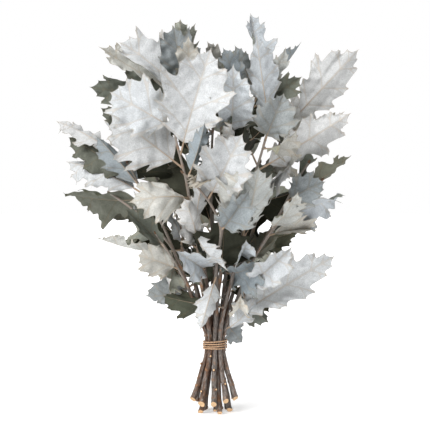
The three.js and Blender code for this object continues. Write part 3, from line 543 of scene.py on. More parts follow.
def settle(leaves):
    many = gathered(leaves)
    home = many.tip.copy()
    stem_of = np.array([leaf.stem.item for leaf in leaves])
    rod_c, rod_f, rod_h, rod_stem = wood_rods()
    first, second = np.triu_indices(len(leaves), 1)
    for step in range(SETTLE_PASSES):
        c, f, h, lever = plates_of(many)
        middle = lerp(many.root, many.tip, LEAF_MIDDLE)
        reach = LEAF_REACH * many.length
        pushes = np.zeros_like(middle)

        apart = norm(middle[first] - middle[second], axis=1)
        near = apart < reach[first] + reach[second]
        i, j = (np.repeat(side[near], 16) for side in (first, second))
        a = np.tile(np.repeat(PLATES, 4), near.sum())
        b = np.tile(np.tile(PLATES, 4), near.sum())
        limit = h[i, a, 0] + h[j, b, 0] + h[i, a, 1] + h[j, b, 1]
        close = norm(c[i, a] - c[j, b], axis=1) < limit
        i, j, a, b = i[close], j[close], a[close], b[close]
        move, meets = least_moves(c[i, a], f[i, a], h[i, a], c[j, b], f[j, b], h[j, b])
        i, j, a, b, move = i[meets], j[meets], a[meets], b[meets], move[meets]
        np.add.at(pushes, i, move * (PUSH_FROM_LEAF / lever[i, a])[:, None])
        np.add.at(pushes, j, -move * (PUSH_FROM_LEAF / lever[j, b])[:, None])

        gaps = norm(middle[:, None] - rod_c[None], axis=-1)
        near = (gaps < reach[:, None] + rod_h[None, :, 0]) & (stem_of[:, None] != rod_stem[None])
        i, r = (np.repeat(side, 4) for side in np.nonzero(near))
        a = np.tile(PLATES, near.sum())
        move, meets = least_moves(c[i, a], f[i, a], h[i, a], rod_c[r], rod_f[r], rod_h[r])
        i, a, move = i[meets], a[meets], move[meets]
        np.add.at(pushes, i, move * (PUSH_FROM_WOOD / lever[i, a])[:, None])

        calm = 1 - step / SETTLE_PASSES
        swing = pushes * SETTLE_EASE * calm * many.freedom + (home - many.tip) * HOME_PULL * calm
        size = norm(swing, axis=1, keepdims=True)
        swing *= np.minimum(1, MOST_SWING / np.maximum(size, 1e-12))
        many.tip = many.root + unit(many.tip + swing - many.root) * many.length[:, None]
    for leaf, tip, length in zip(leaves, many.tip, many.length):
        leaf.tip = tip
        leaf.length = length


leaves = leaf_list()
settle(leaves)


SHARP_ANGLE = 50
LEAF, BARK, CUT = 0, 1, 2  # numbers of the materials of a stem
TWINE = 0
# The marks of a point: on a leaf its gap to a vein, its gap to the edge and its kind, which is 0
# on the face, 1 underneath, 2 on a rib and 3 on the midrib; on bark 1 on a bud, and its scar last
NO_MARKS = (0, 9, 0)
BUD_MARKS = (1, 9, 0)
PLAIN_DYE = (0.5, 0.5, 0.5)


class Gathered:
    """A mesh being gathered: its points with what the materials read at each, and its triangles
    with the number of their material."""

    def __init__(self):
        self.points, self.place, self.marks, self.dye = [], [], [], []
        self.triangles, self.materials = [], []
        self.count = 0

    def add(self, points, triangles, material, place, marks=NO_MARKS, dye=PLAIN_DYE):
        points = np.asarray(points, float).reshape(-1, 3)
        triangles = np.asarray(triangles, int).reshape(-1, 3)
        self.points.append(points)
        for kept, value in ((self.place, place), (self.marks, marks), (self.dye, dye)):
            kept.append(np.broadcast_to(np.asarray(value, float), points.shape))
        self.triangles.append(triangles + self.count)
        self.materials.append(np.full(len(triangles), material))
        self.count += len(points)

    def add_tube(self, centres, radii, sides, material, place, marks=NO_MARKS, dye=PLAIN_DYE):
        """A closed tube, with `place` and the rest given for all, for each ring or each point."""
        n = len(centres)
        values = []
        for value in (place, marks, dye):
            by_point = len(value) == n * sides
            value = value if by_point else np.repeat(np.broadcast_to(value, (n, 3)), sides, 0)
            values.append(value)
        self.add(tube(centres, radii, sides), ring_triangles(n, sides), material, *values)

    def built(self, name, materials):
        mesh = bpy.data.meshes.new(name)
        corners = np.concatenate(self.triangles).ravel()
        starts = np.arange(0, len(corners), 3)

        def fill(data, key, values, kind):
            data.foreach_set(key, values.astype(kind).ravel())

        mesh.vertices.add(self.count)
        fill(mesh.vertices, "co", np.concatenate(self.points) * MM, np.float32)
        mesh.loops.add(len(corners))
        fill(mesh.loops, "vertex_index", corners, np.int32)
        mesh.polygons.add(len(starts))
        fill(mesh.polygons, "loop_start", starts, np.int32)
        fill(mesh.polygons, "material_index", np.concatenate(self.materials), np.int32)
        mesh.update(calc_edges=True)
        dye = np.insert(np.concatenate(self.dye), 3, 1, axis=1)
        for title, kind, key, values in (
            ("place", "FLOAT_VECTOR", "vector", np.concatenate(self.place)),
            ("marks", "FLOAT_VECTOR", "vector", np.concatenate(self.marks)),
            ("dye", "FLOAT_COLOR", "color", dye),
        ):
            fill(mesh.attributes.new(title, kind, "POINT").data, key, values, np.float32)
        mesh.shade_smooth()
        mesh.set_sharp_from_angle(angle=math.radians(SHARP_ANGLE))
        for material in materials:
            mesh.materials.append(material)
        piece = bpy.data.objects.new(name, mesh)
        bpy.context.scene.collection.objects.link(piece)
        return piece


def ripple(item, channel, xy, size):
    """Gentle uneven waves over a plane, from -1 to 1, about `size` from crest to crest."""
    total = 0
    for k in range(4):
        a = TURN * chance(item, channel + k)
        along = xy @ np.array([math.cos(a), math.sin(a)])
        step = size * (0.7 + 0.6 * chance(item, channel + 10 + k))
        total = total + np.sin(TURN * (along / step + chance(item, channel + 20 + k)))
    return total / 4


def spokes(sides):
    angle = TURN * np.arange(sides) / sides
    return np.stack([np.cos(angle), np.sin(angle), 0 * angle], 1)


def ring_triangles(rings, sides, closed_start=True, closed_end=True):
    r, k = np.meshgrid(np.arange(rings - 1), np.arange(sides), indexing="ij")
    a = (r * sides + k).ravel()
    b = (r * sides + (k + 1) % sides).ravel()
    made = [np.stack([a, b, b + sides], 1), np.stack([a, b + sides, a + sides], 1)]
    fan = np.arange(1, sides - 1)
    last = (rings - 1) * sides
    if closed_start:
        made.append(np.stack([0 * fan, fan + 1, fan], 1))
    if closed_end:
        made.append(np.stack([last + 0 * fan, last + fan, last + fan + 1], 1))
    return np.concatenate(made)


def tube(centres, radii, sides):
    """The rings of a tube along `centres`, carried along without turning about its line."""
    centres = np.asarray(centres, float)
    ahead = unit(np.gradient(centres, axis=0))
    u = unit(np.cross(ahead[0], [0.31, 0.95, 0.1]))
    across = []
    for d in ahead:
        u = unit(u - d * (u @ d))
        across.append(u)
    across = np.array(across)
    spoke = spokes(sides)
    spoke = across[:, None] * spoke[:, :1] + np.cross(ahead, across)[:, None] * spoke[:, 1:2]
    return centres[:, None] + spoke * np.asarray(radii, float)[:, None, None]


# Leaf outlines, as in the solid part: bristle-tipped lobes and the bays between them take turns.
# Each is a share of the leaf's length with a share of its half width.
LARGE_OUTLINE = [(0.25, 0.62), (0.32, 0.56), (0.47, 0.94), (0.51, 0.76)]
LARGE_OUTLINE += [(0.7, 1), (0.72, 0.73), (0.88, 0.62), (0.88, 0.41)]
SMALL_OUTLINE = [(0.33, 0.76), (0.41, 0.66), (0.62, 1), (0.65, 0.74), (0.86, 0.64), (0.85, 0.45)]
INNER_OUTLINE = [(0.4, 0.92), (0.47, 0.68), (0.7, 1), (0.76, 0.5)]
LARGE_LEAF_WIDTH = 67  # and a large front leaf has the first outline
LOBE_SPREAD = 0.3
BAY_SPREAD = 0.2
LOBE_SHIFT = 0.05

OUTLINE_STEP = 1.9
GRID_STEP = 2.7
VEIN_STEP = 2.6
TOOTH_OUT = 0.09  # how far a tooth stands off its lobe's straight side, as a share of that side
BRISTLE = 3.8  # a lobe's drawn-out tip
SPINE_PULL = 0.34  # how far a point's drawn-out tip reaches along the way to the next one
BAY_PULL = 0.12  # and where a bay lies between them
BLADE_HALF_THICKNESS = 0.2
MIDRIB_RADIUS = 0.5
RIB_RADIUS = 0.36
RIB_TAPER = 0.75
RIB_SINK = 0.3
MIDRIB_SIDES, RIB_SIDES = 8, 5
LEAST_MIDRIB = 0.25  # radius
STALK_MORE = 0.85  # what the stalk adds to the midrib's radius
MIDRIB_WEIGHT, LOBE_WEIGHT, TOOTH_WEIGHT, END_WEIGHT = 1.6, 1.0, 0.55, 0.5  # of the veins
LOBE_BEND = [0.5, 0.38]  # where a lobe's vein bends, in shares of the way to its tip
GRID_JITTER = 0.3
EDGE_CLEARANCE, VEIN_CLEARANCE = 0.6, 0.55  # of the grid's points, in steps of the grid
PUCKER, PUCKER_SIZE, PUCKER_GAP = 2.1, 15, 3.5  # height, length and distance from a vein
CRINKLE, CRINKLE_SIZE = 3.4, 24
RUFFLE, RUFFLE_SIZE, RUFFLE_DEPTH = 5.6, 19, 7  # height, length and how far in from the edge
LOBE_CURL = 15.0
CALM_WIDTH = 66  # a narrower leaf has less relief, in proportion
LEAST_RELIEF = 0.4


def relief(leaf):
    """A narrow leaf has finer tips, veins and puckers, in proportion."""
    return min(max(leaf.width / CALM_WIDTH, LEAST_RELIEF), 1)


def leaf_anchors(leaf, side):
    large = leaf.item <= LAST_FRONT and leaf.width >= LARGE_LEAF_WIDTH
    half = LARGE_OUTLINE if large else SMALL_OUTLINE
    half = INNER_OUTLINE if leaf.item >= FIRST_INNER else half
    anchors = []
    for k, (s, w) in enumerate(half):
        lobe = k % 2 == 0
        drawn = chance(leaf.item, 10 + 2 * k + (1 if side > 0 else 0)) - 0.5
        width = 0.5 * leaf.width * w * (1 + (LOBE_SPREAD if lobe else BAY_SPREAD) * drawn)
        anchors.append(np.array([(s + (LOBE_SHIFT * drawn if lobe else 0)) * leaf.length, width]))
    return anchors


def bezier(a, c, d, b, step):
    """Points from a towards b about `step` apart, without b itself."""
    size = norm(c - a) + norm(d - c) + norm(b - d)
    n = max(2, int(round(0.8 * size / step)))
    t = (np.arange(n) / n)[:, None]
    return (1 - t) ** 3 * a + 3 * (1 - t) ** 2 * t * c + 3 * (1 - t) * t * t * d + t**3 * b


def half_outline(leaf, side):
    """The margin of one half from its base to the leaf's tip, with y positive, and its veins."""
    anchors = leaf_anchors(leaf, side)
    base = vec2(PETIOLE_SHARE * leaf.length, PETIOLE_HALF_WIDTH * 0.8)
    bristle = BRISTLE * relief(leaf)
    tip = vec2(leaf.length + bristle, 0)
    draw = lambda k: chance(leaf.item, 40 + k + (20 if side > 0 else 0))
    stops = []
    veins = []
    bays = [base] + anchors[1::2]
    for k, (lobe, before, after) in enumerate(zip(anchors[0::2], bays, bays[1:])):
        heart = vec2(max(lobe[0] - 0.8 * lobe[1], base[0] + 2), 0)
        axis = unit(lobe - heart)
        point = lobe + axis * bristle * (0.7 + 0.6 * draw(k + 30))
        bend = heart + (lobe - heart) * LOBE_BEND
        spine = bow(heart, bend, point, np.linspace(0, 1, 13)[:, None])
        veins.append((LOBE_WEIGHT, spine))
        teeth = []
        shares = (0.6 + 0.14 * draw(k), 0.66 + 0.16 * draw(k + 5))
        for bay, share, turn in zip((before, after), shares, (1, -1)):
            edge = lobe - bay
            out = unit(vec2(-edge[1], edge[0])) * turn
            lean = unit(0.75 * axis + 0.55 * out)
            stand = norm(edge) * TOOTH_OUT * (0.5 + draw(k + 10))
            tooth = bay + edge * share + out * stand
            teeth.append((tooth + lean * 0.5 * bristle, lean))
        if k and draw(k + 15) < 0.7:
            stops.append(teeth[0])
        stops += [(point, axis), teeth[1], (after, None)]
        for number in (1,) if k == 0 else (0, 1):
            start, tooth = spine[6 + number], teeth[number][0]
            middle = (start + tooth) / 2 + axis * 0.08 * norm(tooth - start)
            rib = bow(start, middle, tooth, np.linspace(0, 1, 8)[:, None])
            veins.append((TOOTH_WEIGHT, rib))
    last = bays[-1]
    edge = tip - last
    stand = norm(edge) * 0.1 * (0.6 + 0.8 * draw(17))
    lean = unit(vec2(0.8, 0.6))
    tooth = last + edge * 0.42 + vec2(0.2, 1.0) * stand + lean * 0.4 * bristle
    stops += [(tooth, lean), (tip, vec2(1, 0))]
    start = [tooth[0] - 0.9 * tooth[1] - 2, 0.0]
    veins.append((END_WEIGHT, np.linspace(start, tooth, 7)))

    # From point to point, and between two of them through the bay, which has no direction
    line = []
    at, lean, bay = base, vec2(-0.5, -1), None
    for point, axis in stops:
        if axis is None:
            bay = point
            continue
        size = norm(point - at) * (SPINE_PULL if bay is None else BAY_PULL)
        first, second = (at, point) if bay is None else [(bay - (at + point) / 8) * 4 / 3] * 2
        line.append(bezier(at, first - lean * size, second - axis * size, point, OUTLINE_STEP))
        at, lean, bay = point, axis, None
    return np.concatenate(line), veins


def resampled(line, step):
    size = np.concatenate([[0], np.cumsum(norm(np.diff(line, axis=0), axis=1))])
    n = max(2, int(round(size[-1] / step)) + 1)
    at = np.linspace(0, size[-1], n)
    return np.stack([np.interp(at, size, line[:, c]) for c in range(line.shape[1])], 1)


def segment_gap(points, a, b, width=1.0):
    """How far each point lies from the nearest of the segments a-b, in units of its width."""
    ab = b - a
    t = ((points[:, None] - a) * ab).sum(-1) / np.maximum((ab * ab).sum(-1), 1e-12)
    near = a + np.clip(t, 0, 1)[..., None] * ab
    return (norm(points[:, None] - near, axis=-1) / width).min(1)


def inside(points, loop):
    a, b = loop, np.roll(loop, -1, 0)
    x, y = points[:, 0:1], points[:, 1:2]
    over = (a[:, 1] > y) != (b[:, 1] > y)
    with np.errstate(divide="ignore", invalid="ignore"):
        at = a[:, 0] + (y - a[:, 1]) * (b[:, 0] - a[:, 0]) / (b[:, 1] - a[:, 1])
    return (over & (x < at)).sum(1) % 2 == 1


def leaf_plan(leaf):
    """The flat blade: points, triangles, veins, and each point's gap to a vein and to the edge."""
    right, veins_right = half_outline(leaf, 1)
    left, veins_left = half_outline(leaf, -1)
    reach = leaf.length + BRISTLE * relief(leaf)
    loop = np.concatenate([right, [[reach, 0.0]], (left * [1, -1])[::-1]])
    onward = np.roll(loop, -1, 0)
    rib = np.array([[PETIOLE_SHARE * leaf.length + 1, 0], [reach - 0.5, 0]], float)
    veins = [(MIDRIB_WEIGHT, resampled(rib, VEIN_STEP))]
    for sign, half in ((1, veins_right), (-1, veins_left)):
        veins += [(w, resampled(line * [1, sign], VEIN_STEP)) for w, line in half]
    starts = np.concatenate([line[:-1] for w, line in veins])
    ends = np.concatenate([line[1:] for w, line in veins])
    widths = np.concatenate([np.full(len(line) - 1, w) for w, line in veins])

    low, high = loop.min(0), loop.max(0)
    xs = np.arange(low[0], high[0], GRID_STEP)
    ys = np.arange(low[1], high[1], GRID_STEP * 0.87)
    shift = GRID_STEP / 2
    grid = np.array([[x + (shift if r % 2 else 0), y] for r, y in enumerate(ys) for x in xs])
    jitter = [ripple(leaf.item, 90, grid, 9), ripple(leaf.item, 94, grid, 8)]
    grid = grid + GRID_JITTER * np.stack(jitter, 1)
    grid = grid[inside(grid, loop)]
    grid = grid[segment_gap(grid, loop, onward) > EDGE_CLEARANCE * GRID_STEP]
    grid = grid[segment_gap(grid, starts, ends) > VEIN_CLEARANCE * GRID_STEP]

    points = [loop, grid]
    edges = [(k, (k + 1) % len(loop)) for k in range(len(loop))]
    count = len(loop) + len(grid)
    for w, line in veins:
        kept = line[inside(line, loop)]
        if len(kept) > 1:
            points.append(kept)
            edges += [(count + k, count + k + 1) for k in range(len(kept) - 1)]
            count += len(kept)
    flat = [Vector(p) for p in np.concatenate(points)]
    verts, _, faces, *_ = delaunay_2d_cdt(flat, edges, [list(range(len(loop)))], 1, 1e-3, False)
    verts = np.array([tuple(v) for v in verts])
    faces = np.array([f for f in faces if len(f) == 3])
    faces = faces[inside(verts[faces].mean(1), loop)]
    a, b, c = (verts[faces[:, k]] for k in range(3))
    ab, ac = b - a, c - a
    area = ab[:, 0] * ac[:, 1] - ab[:, 1] * ac[:, 0]
    faces[area < 0] = faces[area < 0][:, ::-1]
    plan = SimpleNamespace(points=verts, veins=veins, loop=loop, onward=onward)
    plan.faces = faces[np.abs(area) > 1e-4]
    plan.gap = segment_gap(verts, starts, ends, widths)
    plan.edge = segment_gap(verts, loop, onward)
    return plan


def blade_rise(leaf, xy, gap, edge):
    """How far the blade stands off its smooth middle surface: puckers, crinkles and ruffles."""
    reach = np.abs(xy[:, 1]) / (0.5 * leaf.width)
    side = np.where(xy[:, 1] > 0, 1, 0)
    curl = np.where(side, spread(leaf.item, 31, 1), spread(leaf.item, 32, 1)) * LOBE_CURL
    swell = 1 - np.exp(-((gap / PUCKER_GAP) ** 2))
    grow = np.minimum(1, reach * 2 + 0.15)
    rise = PUCKER * swell * (0.6 + 0.8 * ripple(leaf.item, 50, xy, PUCKER_SIZE))
    rise = rise + CRINKLE * grow * ripple(leaf.item, 51, xy, CRINKLE_SIZE)
    ruffle = RUFFLE * np.exp(-edge / RUFFLE_DEPTH) * grow
    rise = rise + ruffle * ripple(leaf.item, 52, xy, RUFFLE_SIZE)
    return relief(leaf) * (rise + curl * np.minimum(reach, 1.2) ** 2.5)


def shaped(leaf, axes, xy, lift):
    """Points of the flat plan, carried onto the leaf."""
    return leaf_points(leaf, axes, xy[:, 0] / leaf.length, xy[:, 1], lift)


LEAF_DYES = {
    "w": (0.63, 0.65, 0.668),
    "k": (0.565, 0.57, 0.545),
    "b": (0.31, 0.342, 0.358),
    "s": (0.155, 0.162, 0.13),
    # d, the darkest, is for the leaves inside the crown: a dark dye that is partly painted shade
    # for the crown's dark inside
    "d": (0.055, 0.056, 0.038),
}
DYE_SPREAD = 0.12
WARMTH_SPREAD = 0.04


def leaf_dye(leaf):
    """The leaf's dye, a little lighter or darker and warmer or cooler than its kind."""
    colour = np.array(LEAF_DYES[leaf.colour])
    colour = colour * (1 + spread(leaf.item, 33, DYE_SPREAD))
    warm = spread(leaf.item, 34, WARMTH_SPREAD)
    return colour * [1 + warm, 1, 1 - warm]


def leaf_place(leaf, xy):
    return np.column_stack([xy / 10, np.full(len(xy), leaf.item * 1.7)])


def add_leaf(mesh, leaf):
    axes = leaf_axes(leaf)
    plan = leaf_plan(leaf)
    xy, faces = plan.points, plan.faces
    rise = blade_rise(leaf, xy, plan.gap, plan.edge)
    dye = leaf_dye(leaf)
    n = len(xy)
    thick = BLADE_HALF_THICKNESS
    points = [shaped(leaf, axes, xy, rise + lift) for lift in (thick, -thick)]
    sides = np.concatenate([faces[:, [0, 1]], faces[:, [1, 2]], faces[:, [2, 0]]])
    known = {(int(a), int(b)) for a, b in sides}
    rim = np.array([(a, b) for a, b in known if (b, a) not in known])
    a, b = rim[:, 0], rim[:, 1]
    walls = [np.stack([a, a + n, b + n], 1), np.stack([a, b + n, b], 1)]
    triangles = np.concatenate([faces, faces[:, ::-1] + n, *walls])
    marks = np.column_stack([plan.gap / relief(leaf), plan.edge / relief(leaf), np.zeros(n)])
    marks = np.concatenate([marks, marks + [0, 0, 1]])
    place = np.tile(leaf_place(leaf, xy), (2, 1))
    mesh.add(np.concatenate(points), triangles, LEAF, place, marks, dye)

    # The stalk runs on as the midrib, and finer ribs run out to the lobes and teeth.
    base = PETIOLE_SHARE * leaf.length
    for rank, (w, line) in enumerate(plan.veins):
        midrib = rank == 0
        if midrib:
            line = np.concatenate([np.linspace([0, 0], line[0], 7)[:-1], line])
        many = len(line)
        share = np.linspace(0, 1, many)
        size = (MIDRIB_RADIUS if midrib else RIB_RADIUS) * relief(leaf) * w
        size = size * (1 - RIB_TAPER * share)
        edge = segment_gap(line, plan.loop, plan.onward)
        stalk = 0
        if midrib:
            stalk = np.clip((base + 6 - line[:, 0]) / 10, 0, 1)
            size = np.maximum(size, LEAST_MIDRIB) + stalk * STALK_MORE
            edge = np.where(line[:, 0] < base, 0.1, edge)
        lift = blade_rise(leaf, line, np.zeros(many), edge) * (1 - stalk)
        centres = shaped(leaf, axes, line, lift - RIB_SINK * size)
        marks = np.column_stack([share, np.full(many, 5.0), np.full(many, 3.0 if midrib else 2.0)])
        sides = MIDRIB_SIDES if midrib else RIB_SIDES
        mesh.add_tube(centres, size, sides, LEAF, leaf_place(leaf, line), marks, dye)


# Stems

STEM_SIDES = 16
NODE_STEP = 27
DENSE_BELOW = 150  # the height up to which a stem's rings lie close together
LOWER_STEP = 3.2
UPPER_STEP = 7.0
LOWER_KINK, UPPER_KINK = (0.55, 9.5), (0.7, 17)  # size and length of a stem's small bends
KINK_EASE = 30
STEM_GIRTH = 0.45  # of the bark's pattern, in cm
TWIG_GIRTH = 0.25
TWIG_SIDES = 10
TWIG_RINGS = 22
TWIG_NODES = 5
NODE_SWELL, NODE_SPAN = 0.15, 0.06
SCAR_SPAN = 0.05
FOOT_SWELL, FOOT_TOP, FOOT_EASE = 0.16, 98, 30
SLIM_FEET = 0.85  # share of the stems with a foot slimmer than their wood above
BARK_SHADE, BARK_SHADE_SPREAD = 0.66, 0.4
GREY_FROM, GREY_EASE = 170, 150  # the height from which a stem is grey
STEM_BUD = (2.2, 7.0)  # radius and length
TWIG_BUD = (2.0, 6.5)
SIDE_BUD = (1.1, 4.2)


def from_node(stem, z):
    """Where z lies from the stem's nearest node, in shares of the way to the next one."""
    return (z / NODE_STEP + 3 * chance(stem.item, 60)) % 1 - 0.5


def bark_radius(stem, z, angle, base):
    """The base radius with ridges, swellings at the nodes and a slimmer or fuller foot."""
    swell = NODE_SWELL * np.exp(-((from_node(stem, z) / NODE_SPAN) ** 2))
    low = np.clip((FOOT_TOP - z) / FOOT_EASE, 0, 1)
    swell = swell + FOOT_SWELL * (chance(stem.item, 67) - SLIM_FEET) * low
    ridge = 0.05 * np.sin(3 * angle + 5 * chance(stem.item, 61) + z / 23)
    ridge = ridge + 0.035 * np.sin(5 * angle + z / 11 + 4 * chance(stem.item, 62))
    ridge = ridge + 0.02 * np.sin(7 * angle - z / 4.3)
    return base * (1 + swell + ridge)


def bark_place(sides, girth, along):
    """Where the bark's pattern is read: round the wood, and along it."""
    place = np.tile(spokes(sides) * girth, (len(along), 1, 1))
    place[:, :, 2] = along[:, None]
    return place.reshape(-1, 3)


def add_stem(mesh, stem):
    foot, top = stem.foot[2], stem.tip[2]
    low = np.arange(foot, DENSE_BELOW, LOWER_STEP)
    heights = np.concatenate([low, np.arange(DENSE_BELOW, top, UPPER_STEP), [top]])
    n = len(heights)
    centres = np.array([stem_point(stem, z) for z in heights])
    below = (heights < WAIST_Z)[:, None]
    kink, wave = np.where(below, LOWER_KINK, UPPER_KINK).T
    away = np.abs(heights - WAIST_Z) - TIE_HALF_HEIGHT
    kink = kink * np.clip(away / KINK_EASE, 0, 1)
    for axis, length in ((0, wave), (1, wave * 1.2)):
        phase = 6 * chance(stem.item, 63 + axis)
        centres[:, axis] += kink * np.sin((heights - WAIST_Z) / length + phase)
    base = np.array([stem_radius(stem, z) for z in heights])
    angle = TURN * np.arange(STEM_SIDES) / STEM_SIDES
    radii = bark_radius(stem, heights[:, None], angle[None], base[:, None])
    rings = centres[:, None] + spokes(STEM_SIDES)[None] * radii[..., None]
    toward = vec(0, -1 if stem.foot[1] < 8 else 1, 0)
    slope = FOOT_BEVEL * toward
    if foot > 0:
        slope = SIDE_BEVEL * unit(stem.foot * [1, 1, 0]) + SHORT_BEVEL * toward
    for r, share in enumerate(BEVEL_SHARES):
        rise = (rings[r] - centres[r]) @ slope
        rings[r, :, 2] += share * (rise if foot > 0 else rise - rise.min())
    place = bark_place(STEM_SIDES, STEM_GIRTH, heights / 10 + 31 * stem.item)
    high = np.clip((heights - GREY_FROM) / GREY_EASE, 0, 1)
    shade = np.full(n, BARK_SHADE + BARK_SHADE_SPREAD * chance(stem.item, 65))
    silver = np.full(n, chance(stem.item, 68))
    scar = np.exp(-((from_node(stem, heights) / SCAR_SPAN) ** 2))
    dye = np.repeat(np.column_stack([shade, silver, high]), STEM_SIDES, 0)
    marks = np.repeat(np.column_stack([np.zeros(n), np.full(n, 9), scar]), STEM_SIDES, 0)
    mesh.add(rings, ring_triangles(n, STEM_SIDES, False), BARK, place, marks, dye)
    add_cut(mesh, rings[0], stem.item)
    add_bud(mesh, centres[-1], centres[-1] - centres[-2], *STEM_BUD)


CUT_SHARES = [0.93, 0.84, 0.6, 0.35, 0.14]
# A bud's thickness along it, as shares of its length and of its greatest radius
BUD_FORM = [(0, 0.75), (0.15, 0.95), (0.35, 1.0), (0.55, 0.86), (0.75, 0.58), (0.9, 0.3), (1, 0.06)]


def add_cut(mesh, rim, item):
    """A sawn end: rings of wood from the bark's rim in to the pith."""
    sides = len(rim)
    middle = rim.mean(0)
    size = norm(rim - middle, axis=1).mean()
    rings = np.array([rim] + [middle + (rim - middle) * share for share in CUT_SHARES])
    place = np.concatenate([spokes(sides) * share for share in [1] + CUT_SHARES])
    place = place * size / 10 + [0, 0, item * 3.1]
    triangles = ring_triangles(len(rings), sides, False)[:, ::-1]
    mesh.add(rings, triangles, CUT, place, NO_MARKS, (size / 10, 0.5, 0))


def add_bud(mesh, foot, ahead, radius, length):
    shares, sizes = np.array(BUD_FORM).T
    centres = foot + unit(ahead) * (shares * length)[:, None]
    mesh.add_tube(centres, radius * sizes, 8, BARK, centres / 10, BUD_MARKS, (0.7, 0.2, 0))


def add_twig(mesh, twig):
    t = np.linspace(0, 1, TWIG_RINGS)
    centres = np.array([twig_point(twig, k) for k in t])
    radii = lerp(TWIG_RADIUS, TIP_RADIUS, t)
    radii = radii * (1 + 0.12 * np.exp(-((((t * TWIG_NODES) % 1 - 0.5) / 0.12) ** 2)))
    place = bark_place(TWIG_SIDES, TWIG_GIRTH, t * 12 + 57 * twig.stem.item)
    mesh.add_tube(centres, radii, TWIG_SIDES, BARK, place, NO_MARKS, (1, 0.5, 0.8))
    add_bud(mesh, centres[-1], centres[-1] - centres[-2], *TWIG_BUD)


# A knuckle's distances along the stalk with its radii there
KNUCKLE_FORM = [(-0.5, 1.6), (1.6, 2.3), (3.2, 2.1), (5.0, 1.5), (6.5, 1.15)]


def add_knuckle(mesh, leaf):
    """The swelling on the wood where a leaf's stalk leaves it, with a bud in its angle."""
    ahead = unit(leaf.tip - leaf.root)
    along, radii = np.array(KNUCKLE_FORM).T
    centres = leaf.root + ahead * along[:, None]
    mesh.add_tube(centres, radii, 8, BARK, centres / 10, NO_MARKS, (0.9, 0.4, 0.75))
    add_bud(mesh, leaf.root + ahead * 2.5 + [0, 0, 1.4], ahead + [0, 0, 1.2], *SIDE_BUD)


# Short stubs of cut side twigs on the bare stems: stem, height, direction in degrees and length
STUBS = [
    (12, 91, -75, 1.5),
    (13, 70, -100, 1.2),
    (13, 40, -60, 1.2),
    (11, 78, -150, 1.2),
    (12, 36, -120, 1.0),
    (14, 48, -70, 1.4),
    (10, 52, -165, 1.4),
    (8, 60, 120, 2),
    (9, 75, 150, 2),
]
STUB_RADII = [3.4, 3.2, 2.7, 2.2, 1.8, 1.5]
STUB_SIDES = 12


def add_stub(mesh, item, z, degrees, length):
    stem = stems[item]
    out = unit(polar(degrees, 1, 0) + [0, 0, 0.25])
    start = stem_point(stem, z) + out * 1.5
    shares = np.linspace(0, 1, len(STUB_RADII))
    centres = start + out * ((stem_radius(stem, z) + length) * shares)[:, None]
    rings = tube(centres, STUB_RADII, STUB_SIDES)
    triangles = ring_triangles(len(rings), STUB_SIDES, True, False)
    place = np.repeat(centres / 10, STUB_SIDES, 0)
    mesh.add(rings, triangles, BARK, place, NO_MARKS, (0.9, 0.4, 0))
    add_cut(mesh, rings[-1][::-1], item + 20)


# The tie: four turns of two-ply twine
TWINE_TURNS = 4
TWINE_PITCH = 3.6
TWINE_LOW_Z = 102.4
TWINE_REACH = 18.75
END_SWEEP = 0.9
END_OVERHANG = 5
END_LIFT = 1.6
END_FLARE = 2.5
PLY_RADIUS = 0.66
PLY_OFFSET = 0.5
PLY_PITCH = 5.2
PLY_SIDES = 7
PLY_GIRTH = 0.35  # of the twine's pattern, in cm
TWINE_STEP = 0.9
FIBRES = 420


def around_tie(angle, reach, z):
    return np.stack([reach * np.cos(angle), reach * np.sin(angle), z + 0 * angle], -1)


def twine_paths():
    back = math.pi / 2
    high = TWINE_LOW_Z + TWINE_TURNS * TWINE_PITCH
    t = np.linspace(0, TWINE_TURNS, 480)
    unevenly = 0.35 * np.sin(2.3 * t * math.pi) + 0.2 * np.sin(5.1 * t * math.pi + 1)
    reach = TWINE_REACH + 0.2 * np.sin(9 * t)
    rise = TWINE_LOW_Z + TWINE_PITCH * t + unevenly
    paths = [around_tie(back + TURN * t, reach, rise)]
    ends = [
        (TWINE_LOW_Z, high + END_OVERHANG, END_SWEEP),
        (high, TWINE_LOW_Z - END_OVERHANG, -END_SWEEP),
    ]
    for start, finish, sweep in ends:
        t = np.linspace(0, 1, 40)
        lift = END_LIFT * np.sin(math.pi * np.minimum(0.5, 1.6 * t)) + END_FLARE * t * t
        reach = TWINE_REACH + lift
        paths.append(around_tie(back + sweep * t, reach, start + (finish - start) * t))
    return paths


def twisted(path):
    """The twine's centre line at even steps, and two plies wound about it."""
    path = resampled(path, TWINE_STEP)
    size = np.arange(len(path)) * TWINE_STEP
    ahead = unit(np.gradient(path, axis=0))
    out = path * [1, 1, 0]
    out = unit(out - ahead * (out * ahead).sum(1, keepdims=True))
    up = np.cross(ahead, out)
    plies = []
    for ply in (0, 1):
        a = (TURN * size / PLY_PITCH + math.pi * ply)[:, None]
        plies.append(path + PLY_OFFSET * (out * np.cos(a) + up * np.sin(a)))
    return path, ahead, out, up, plies


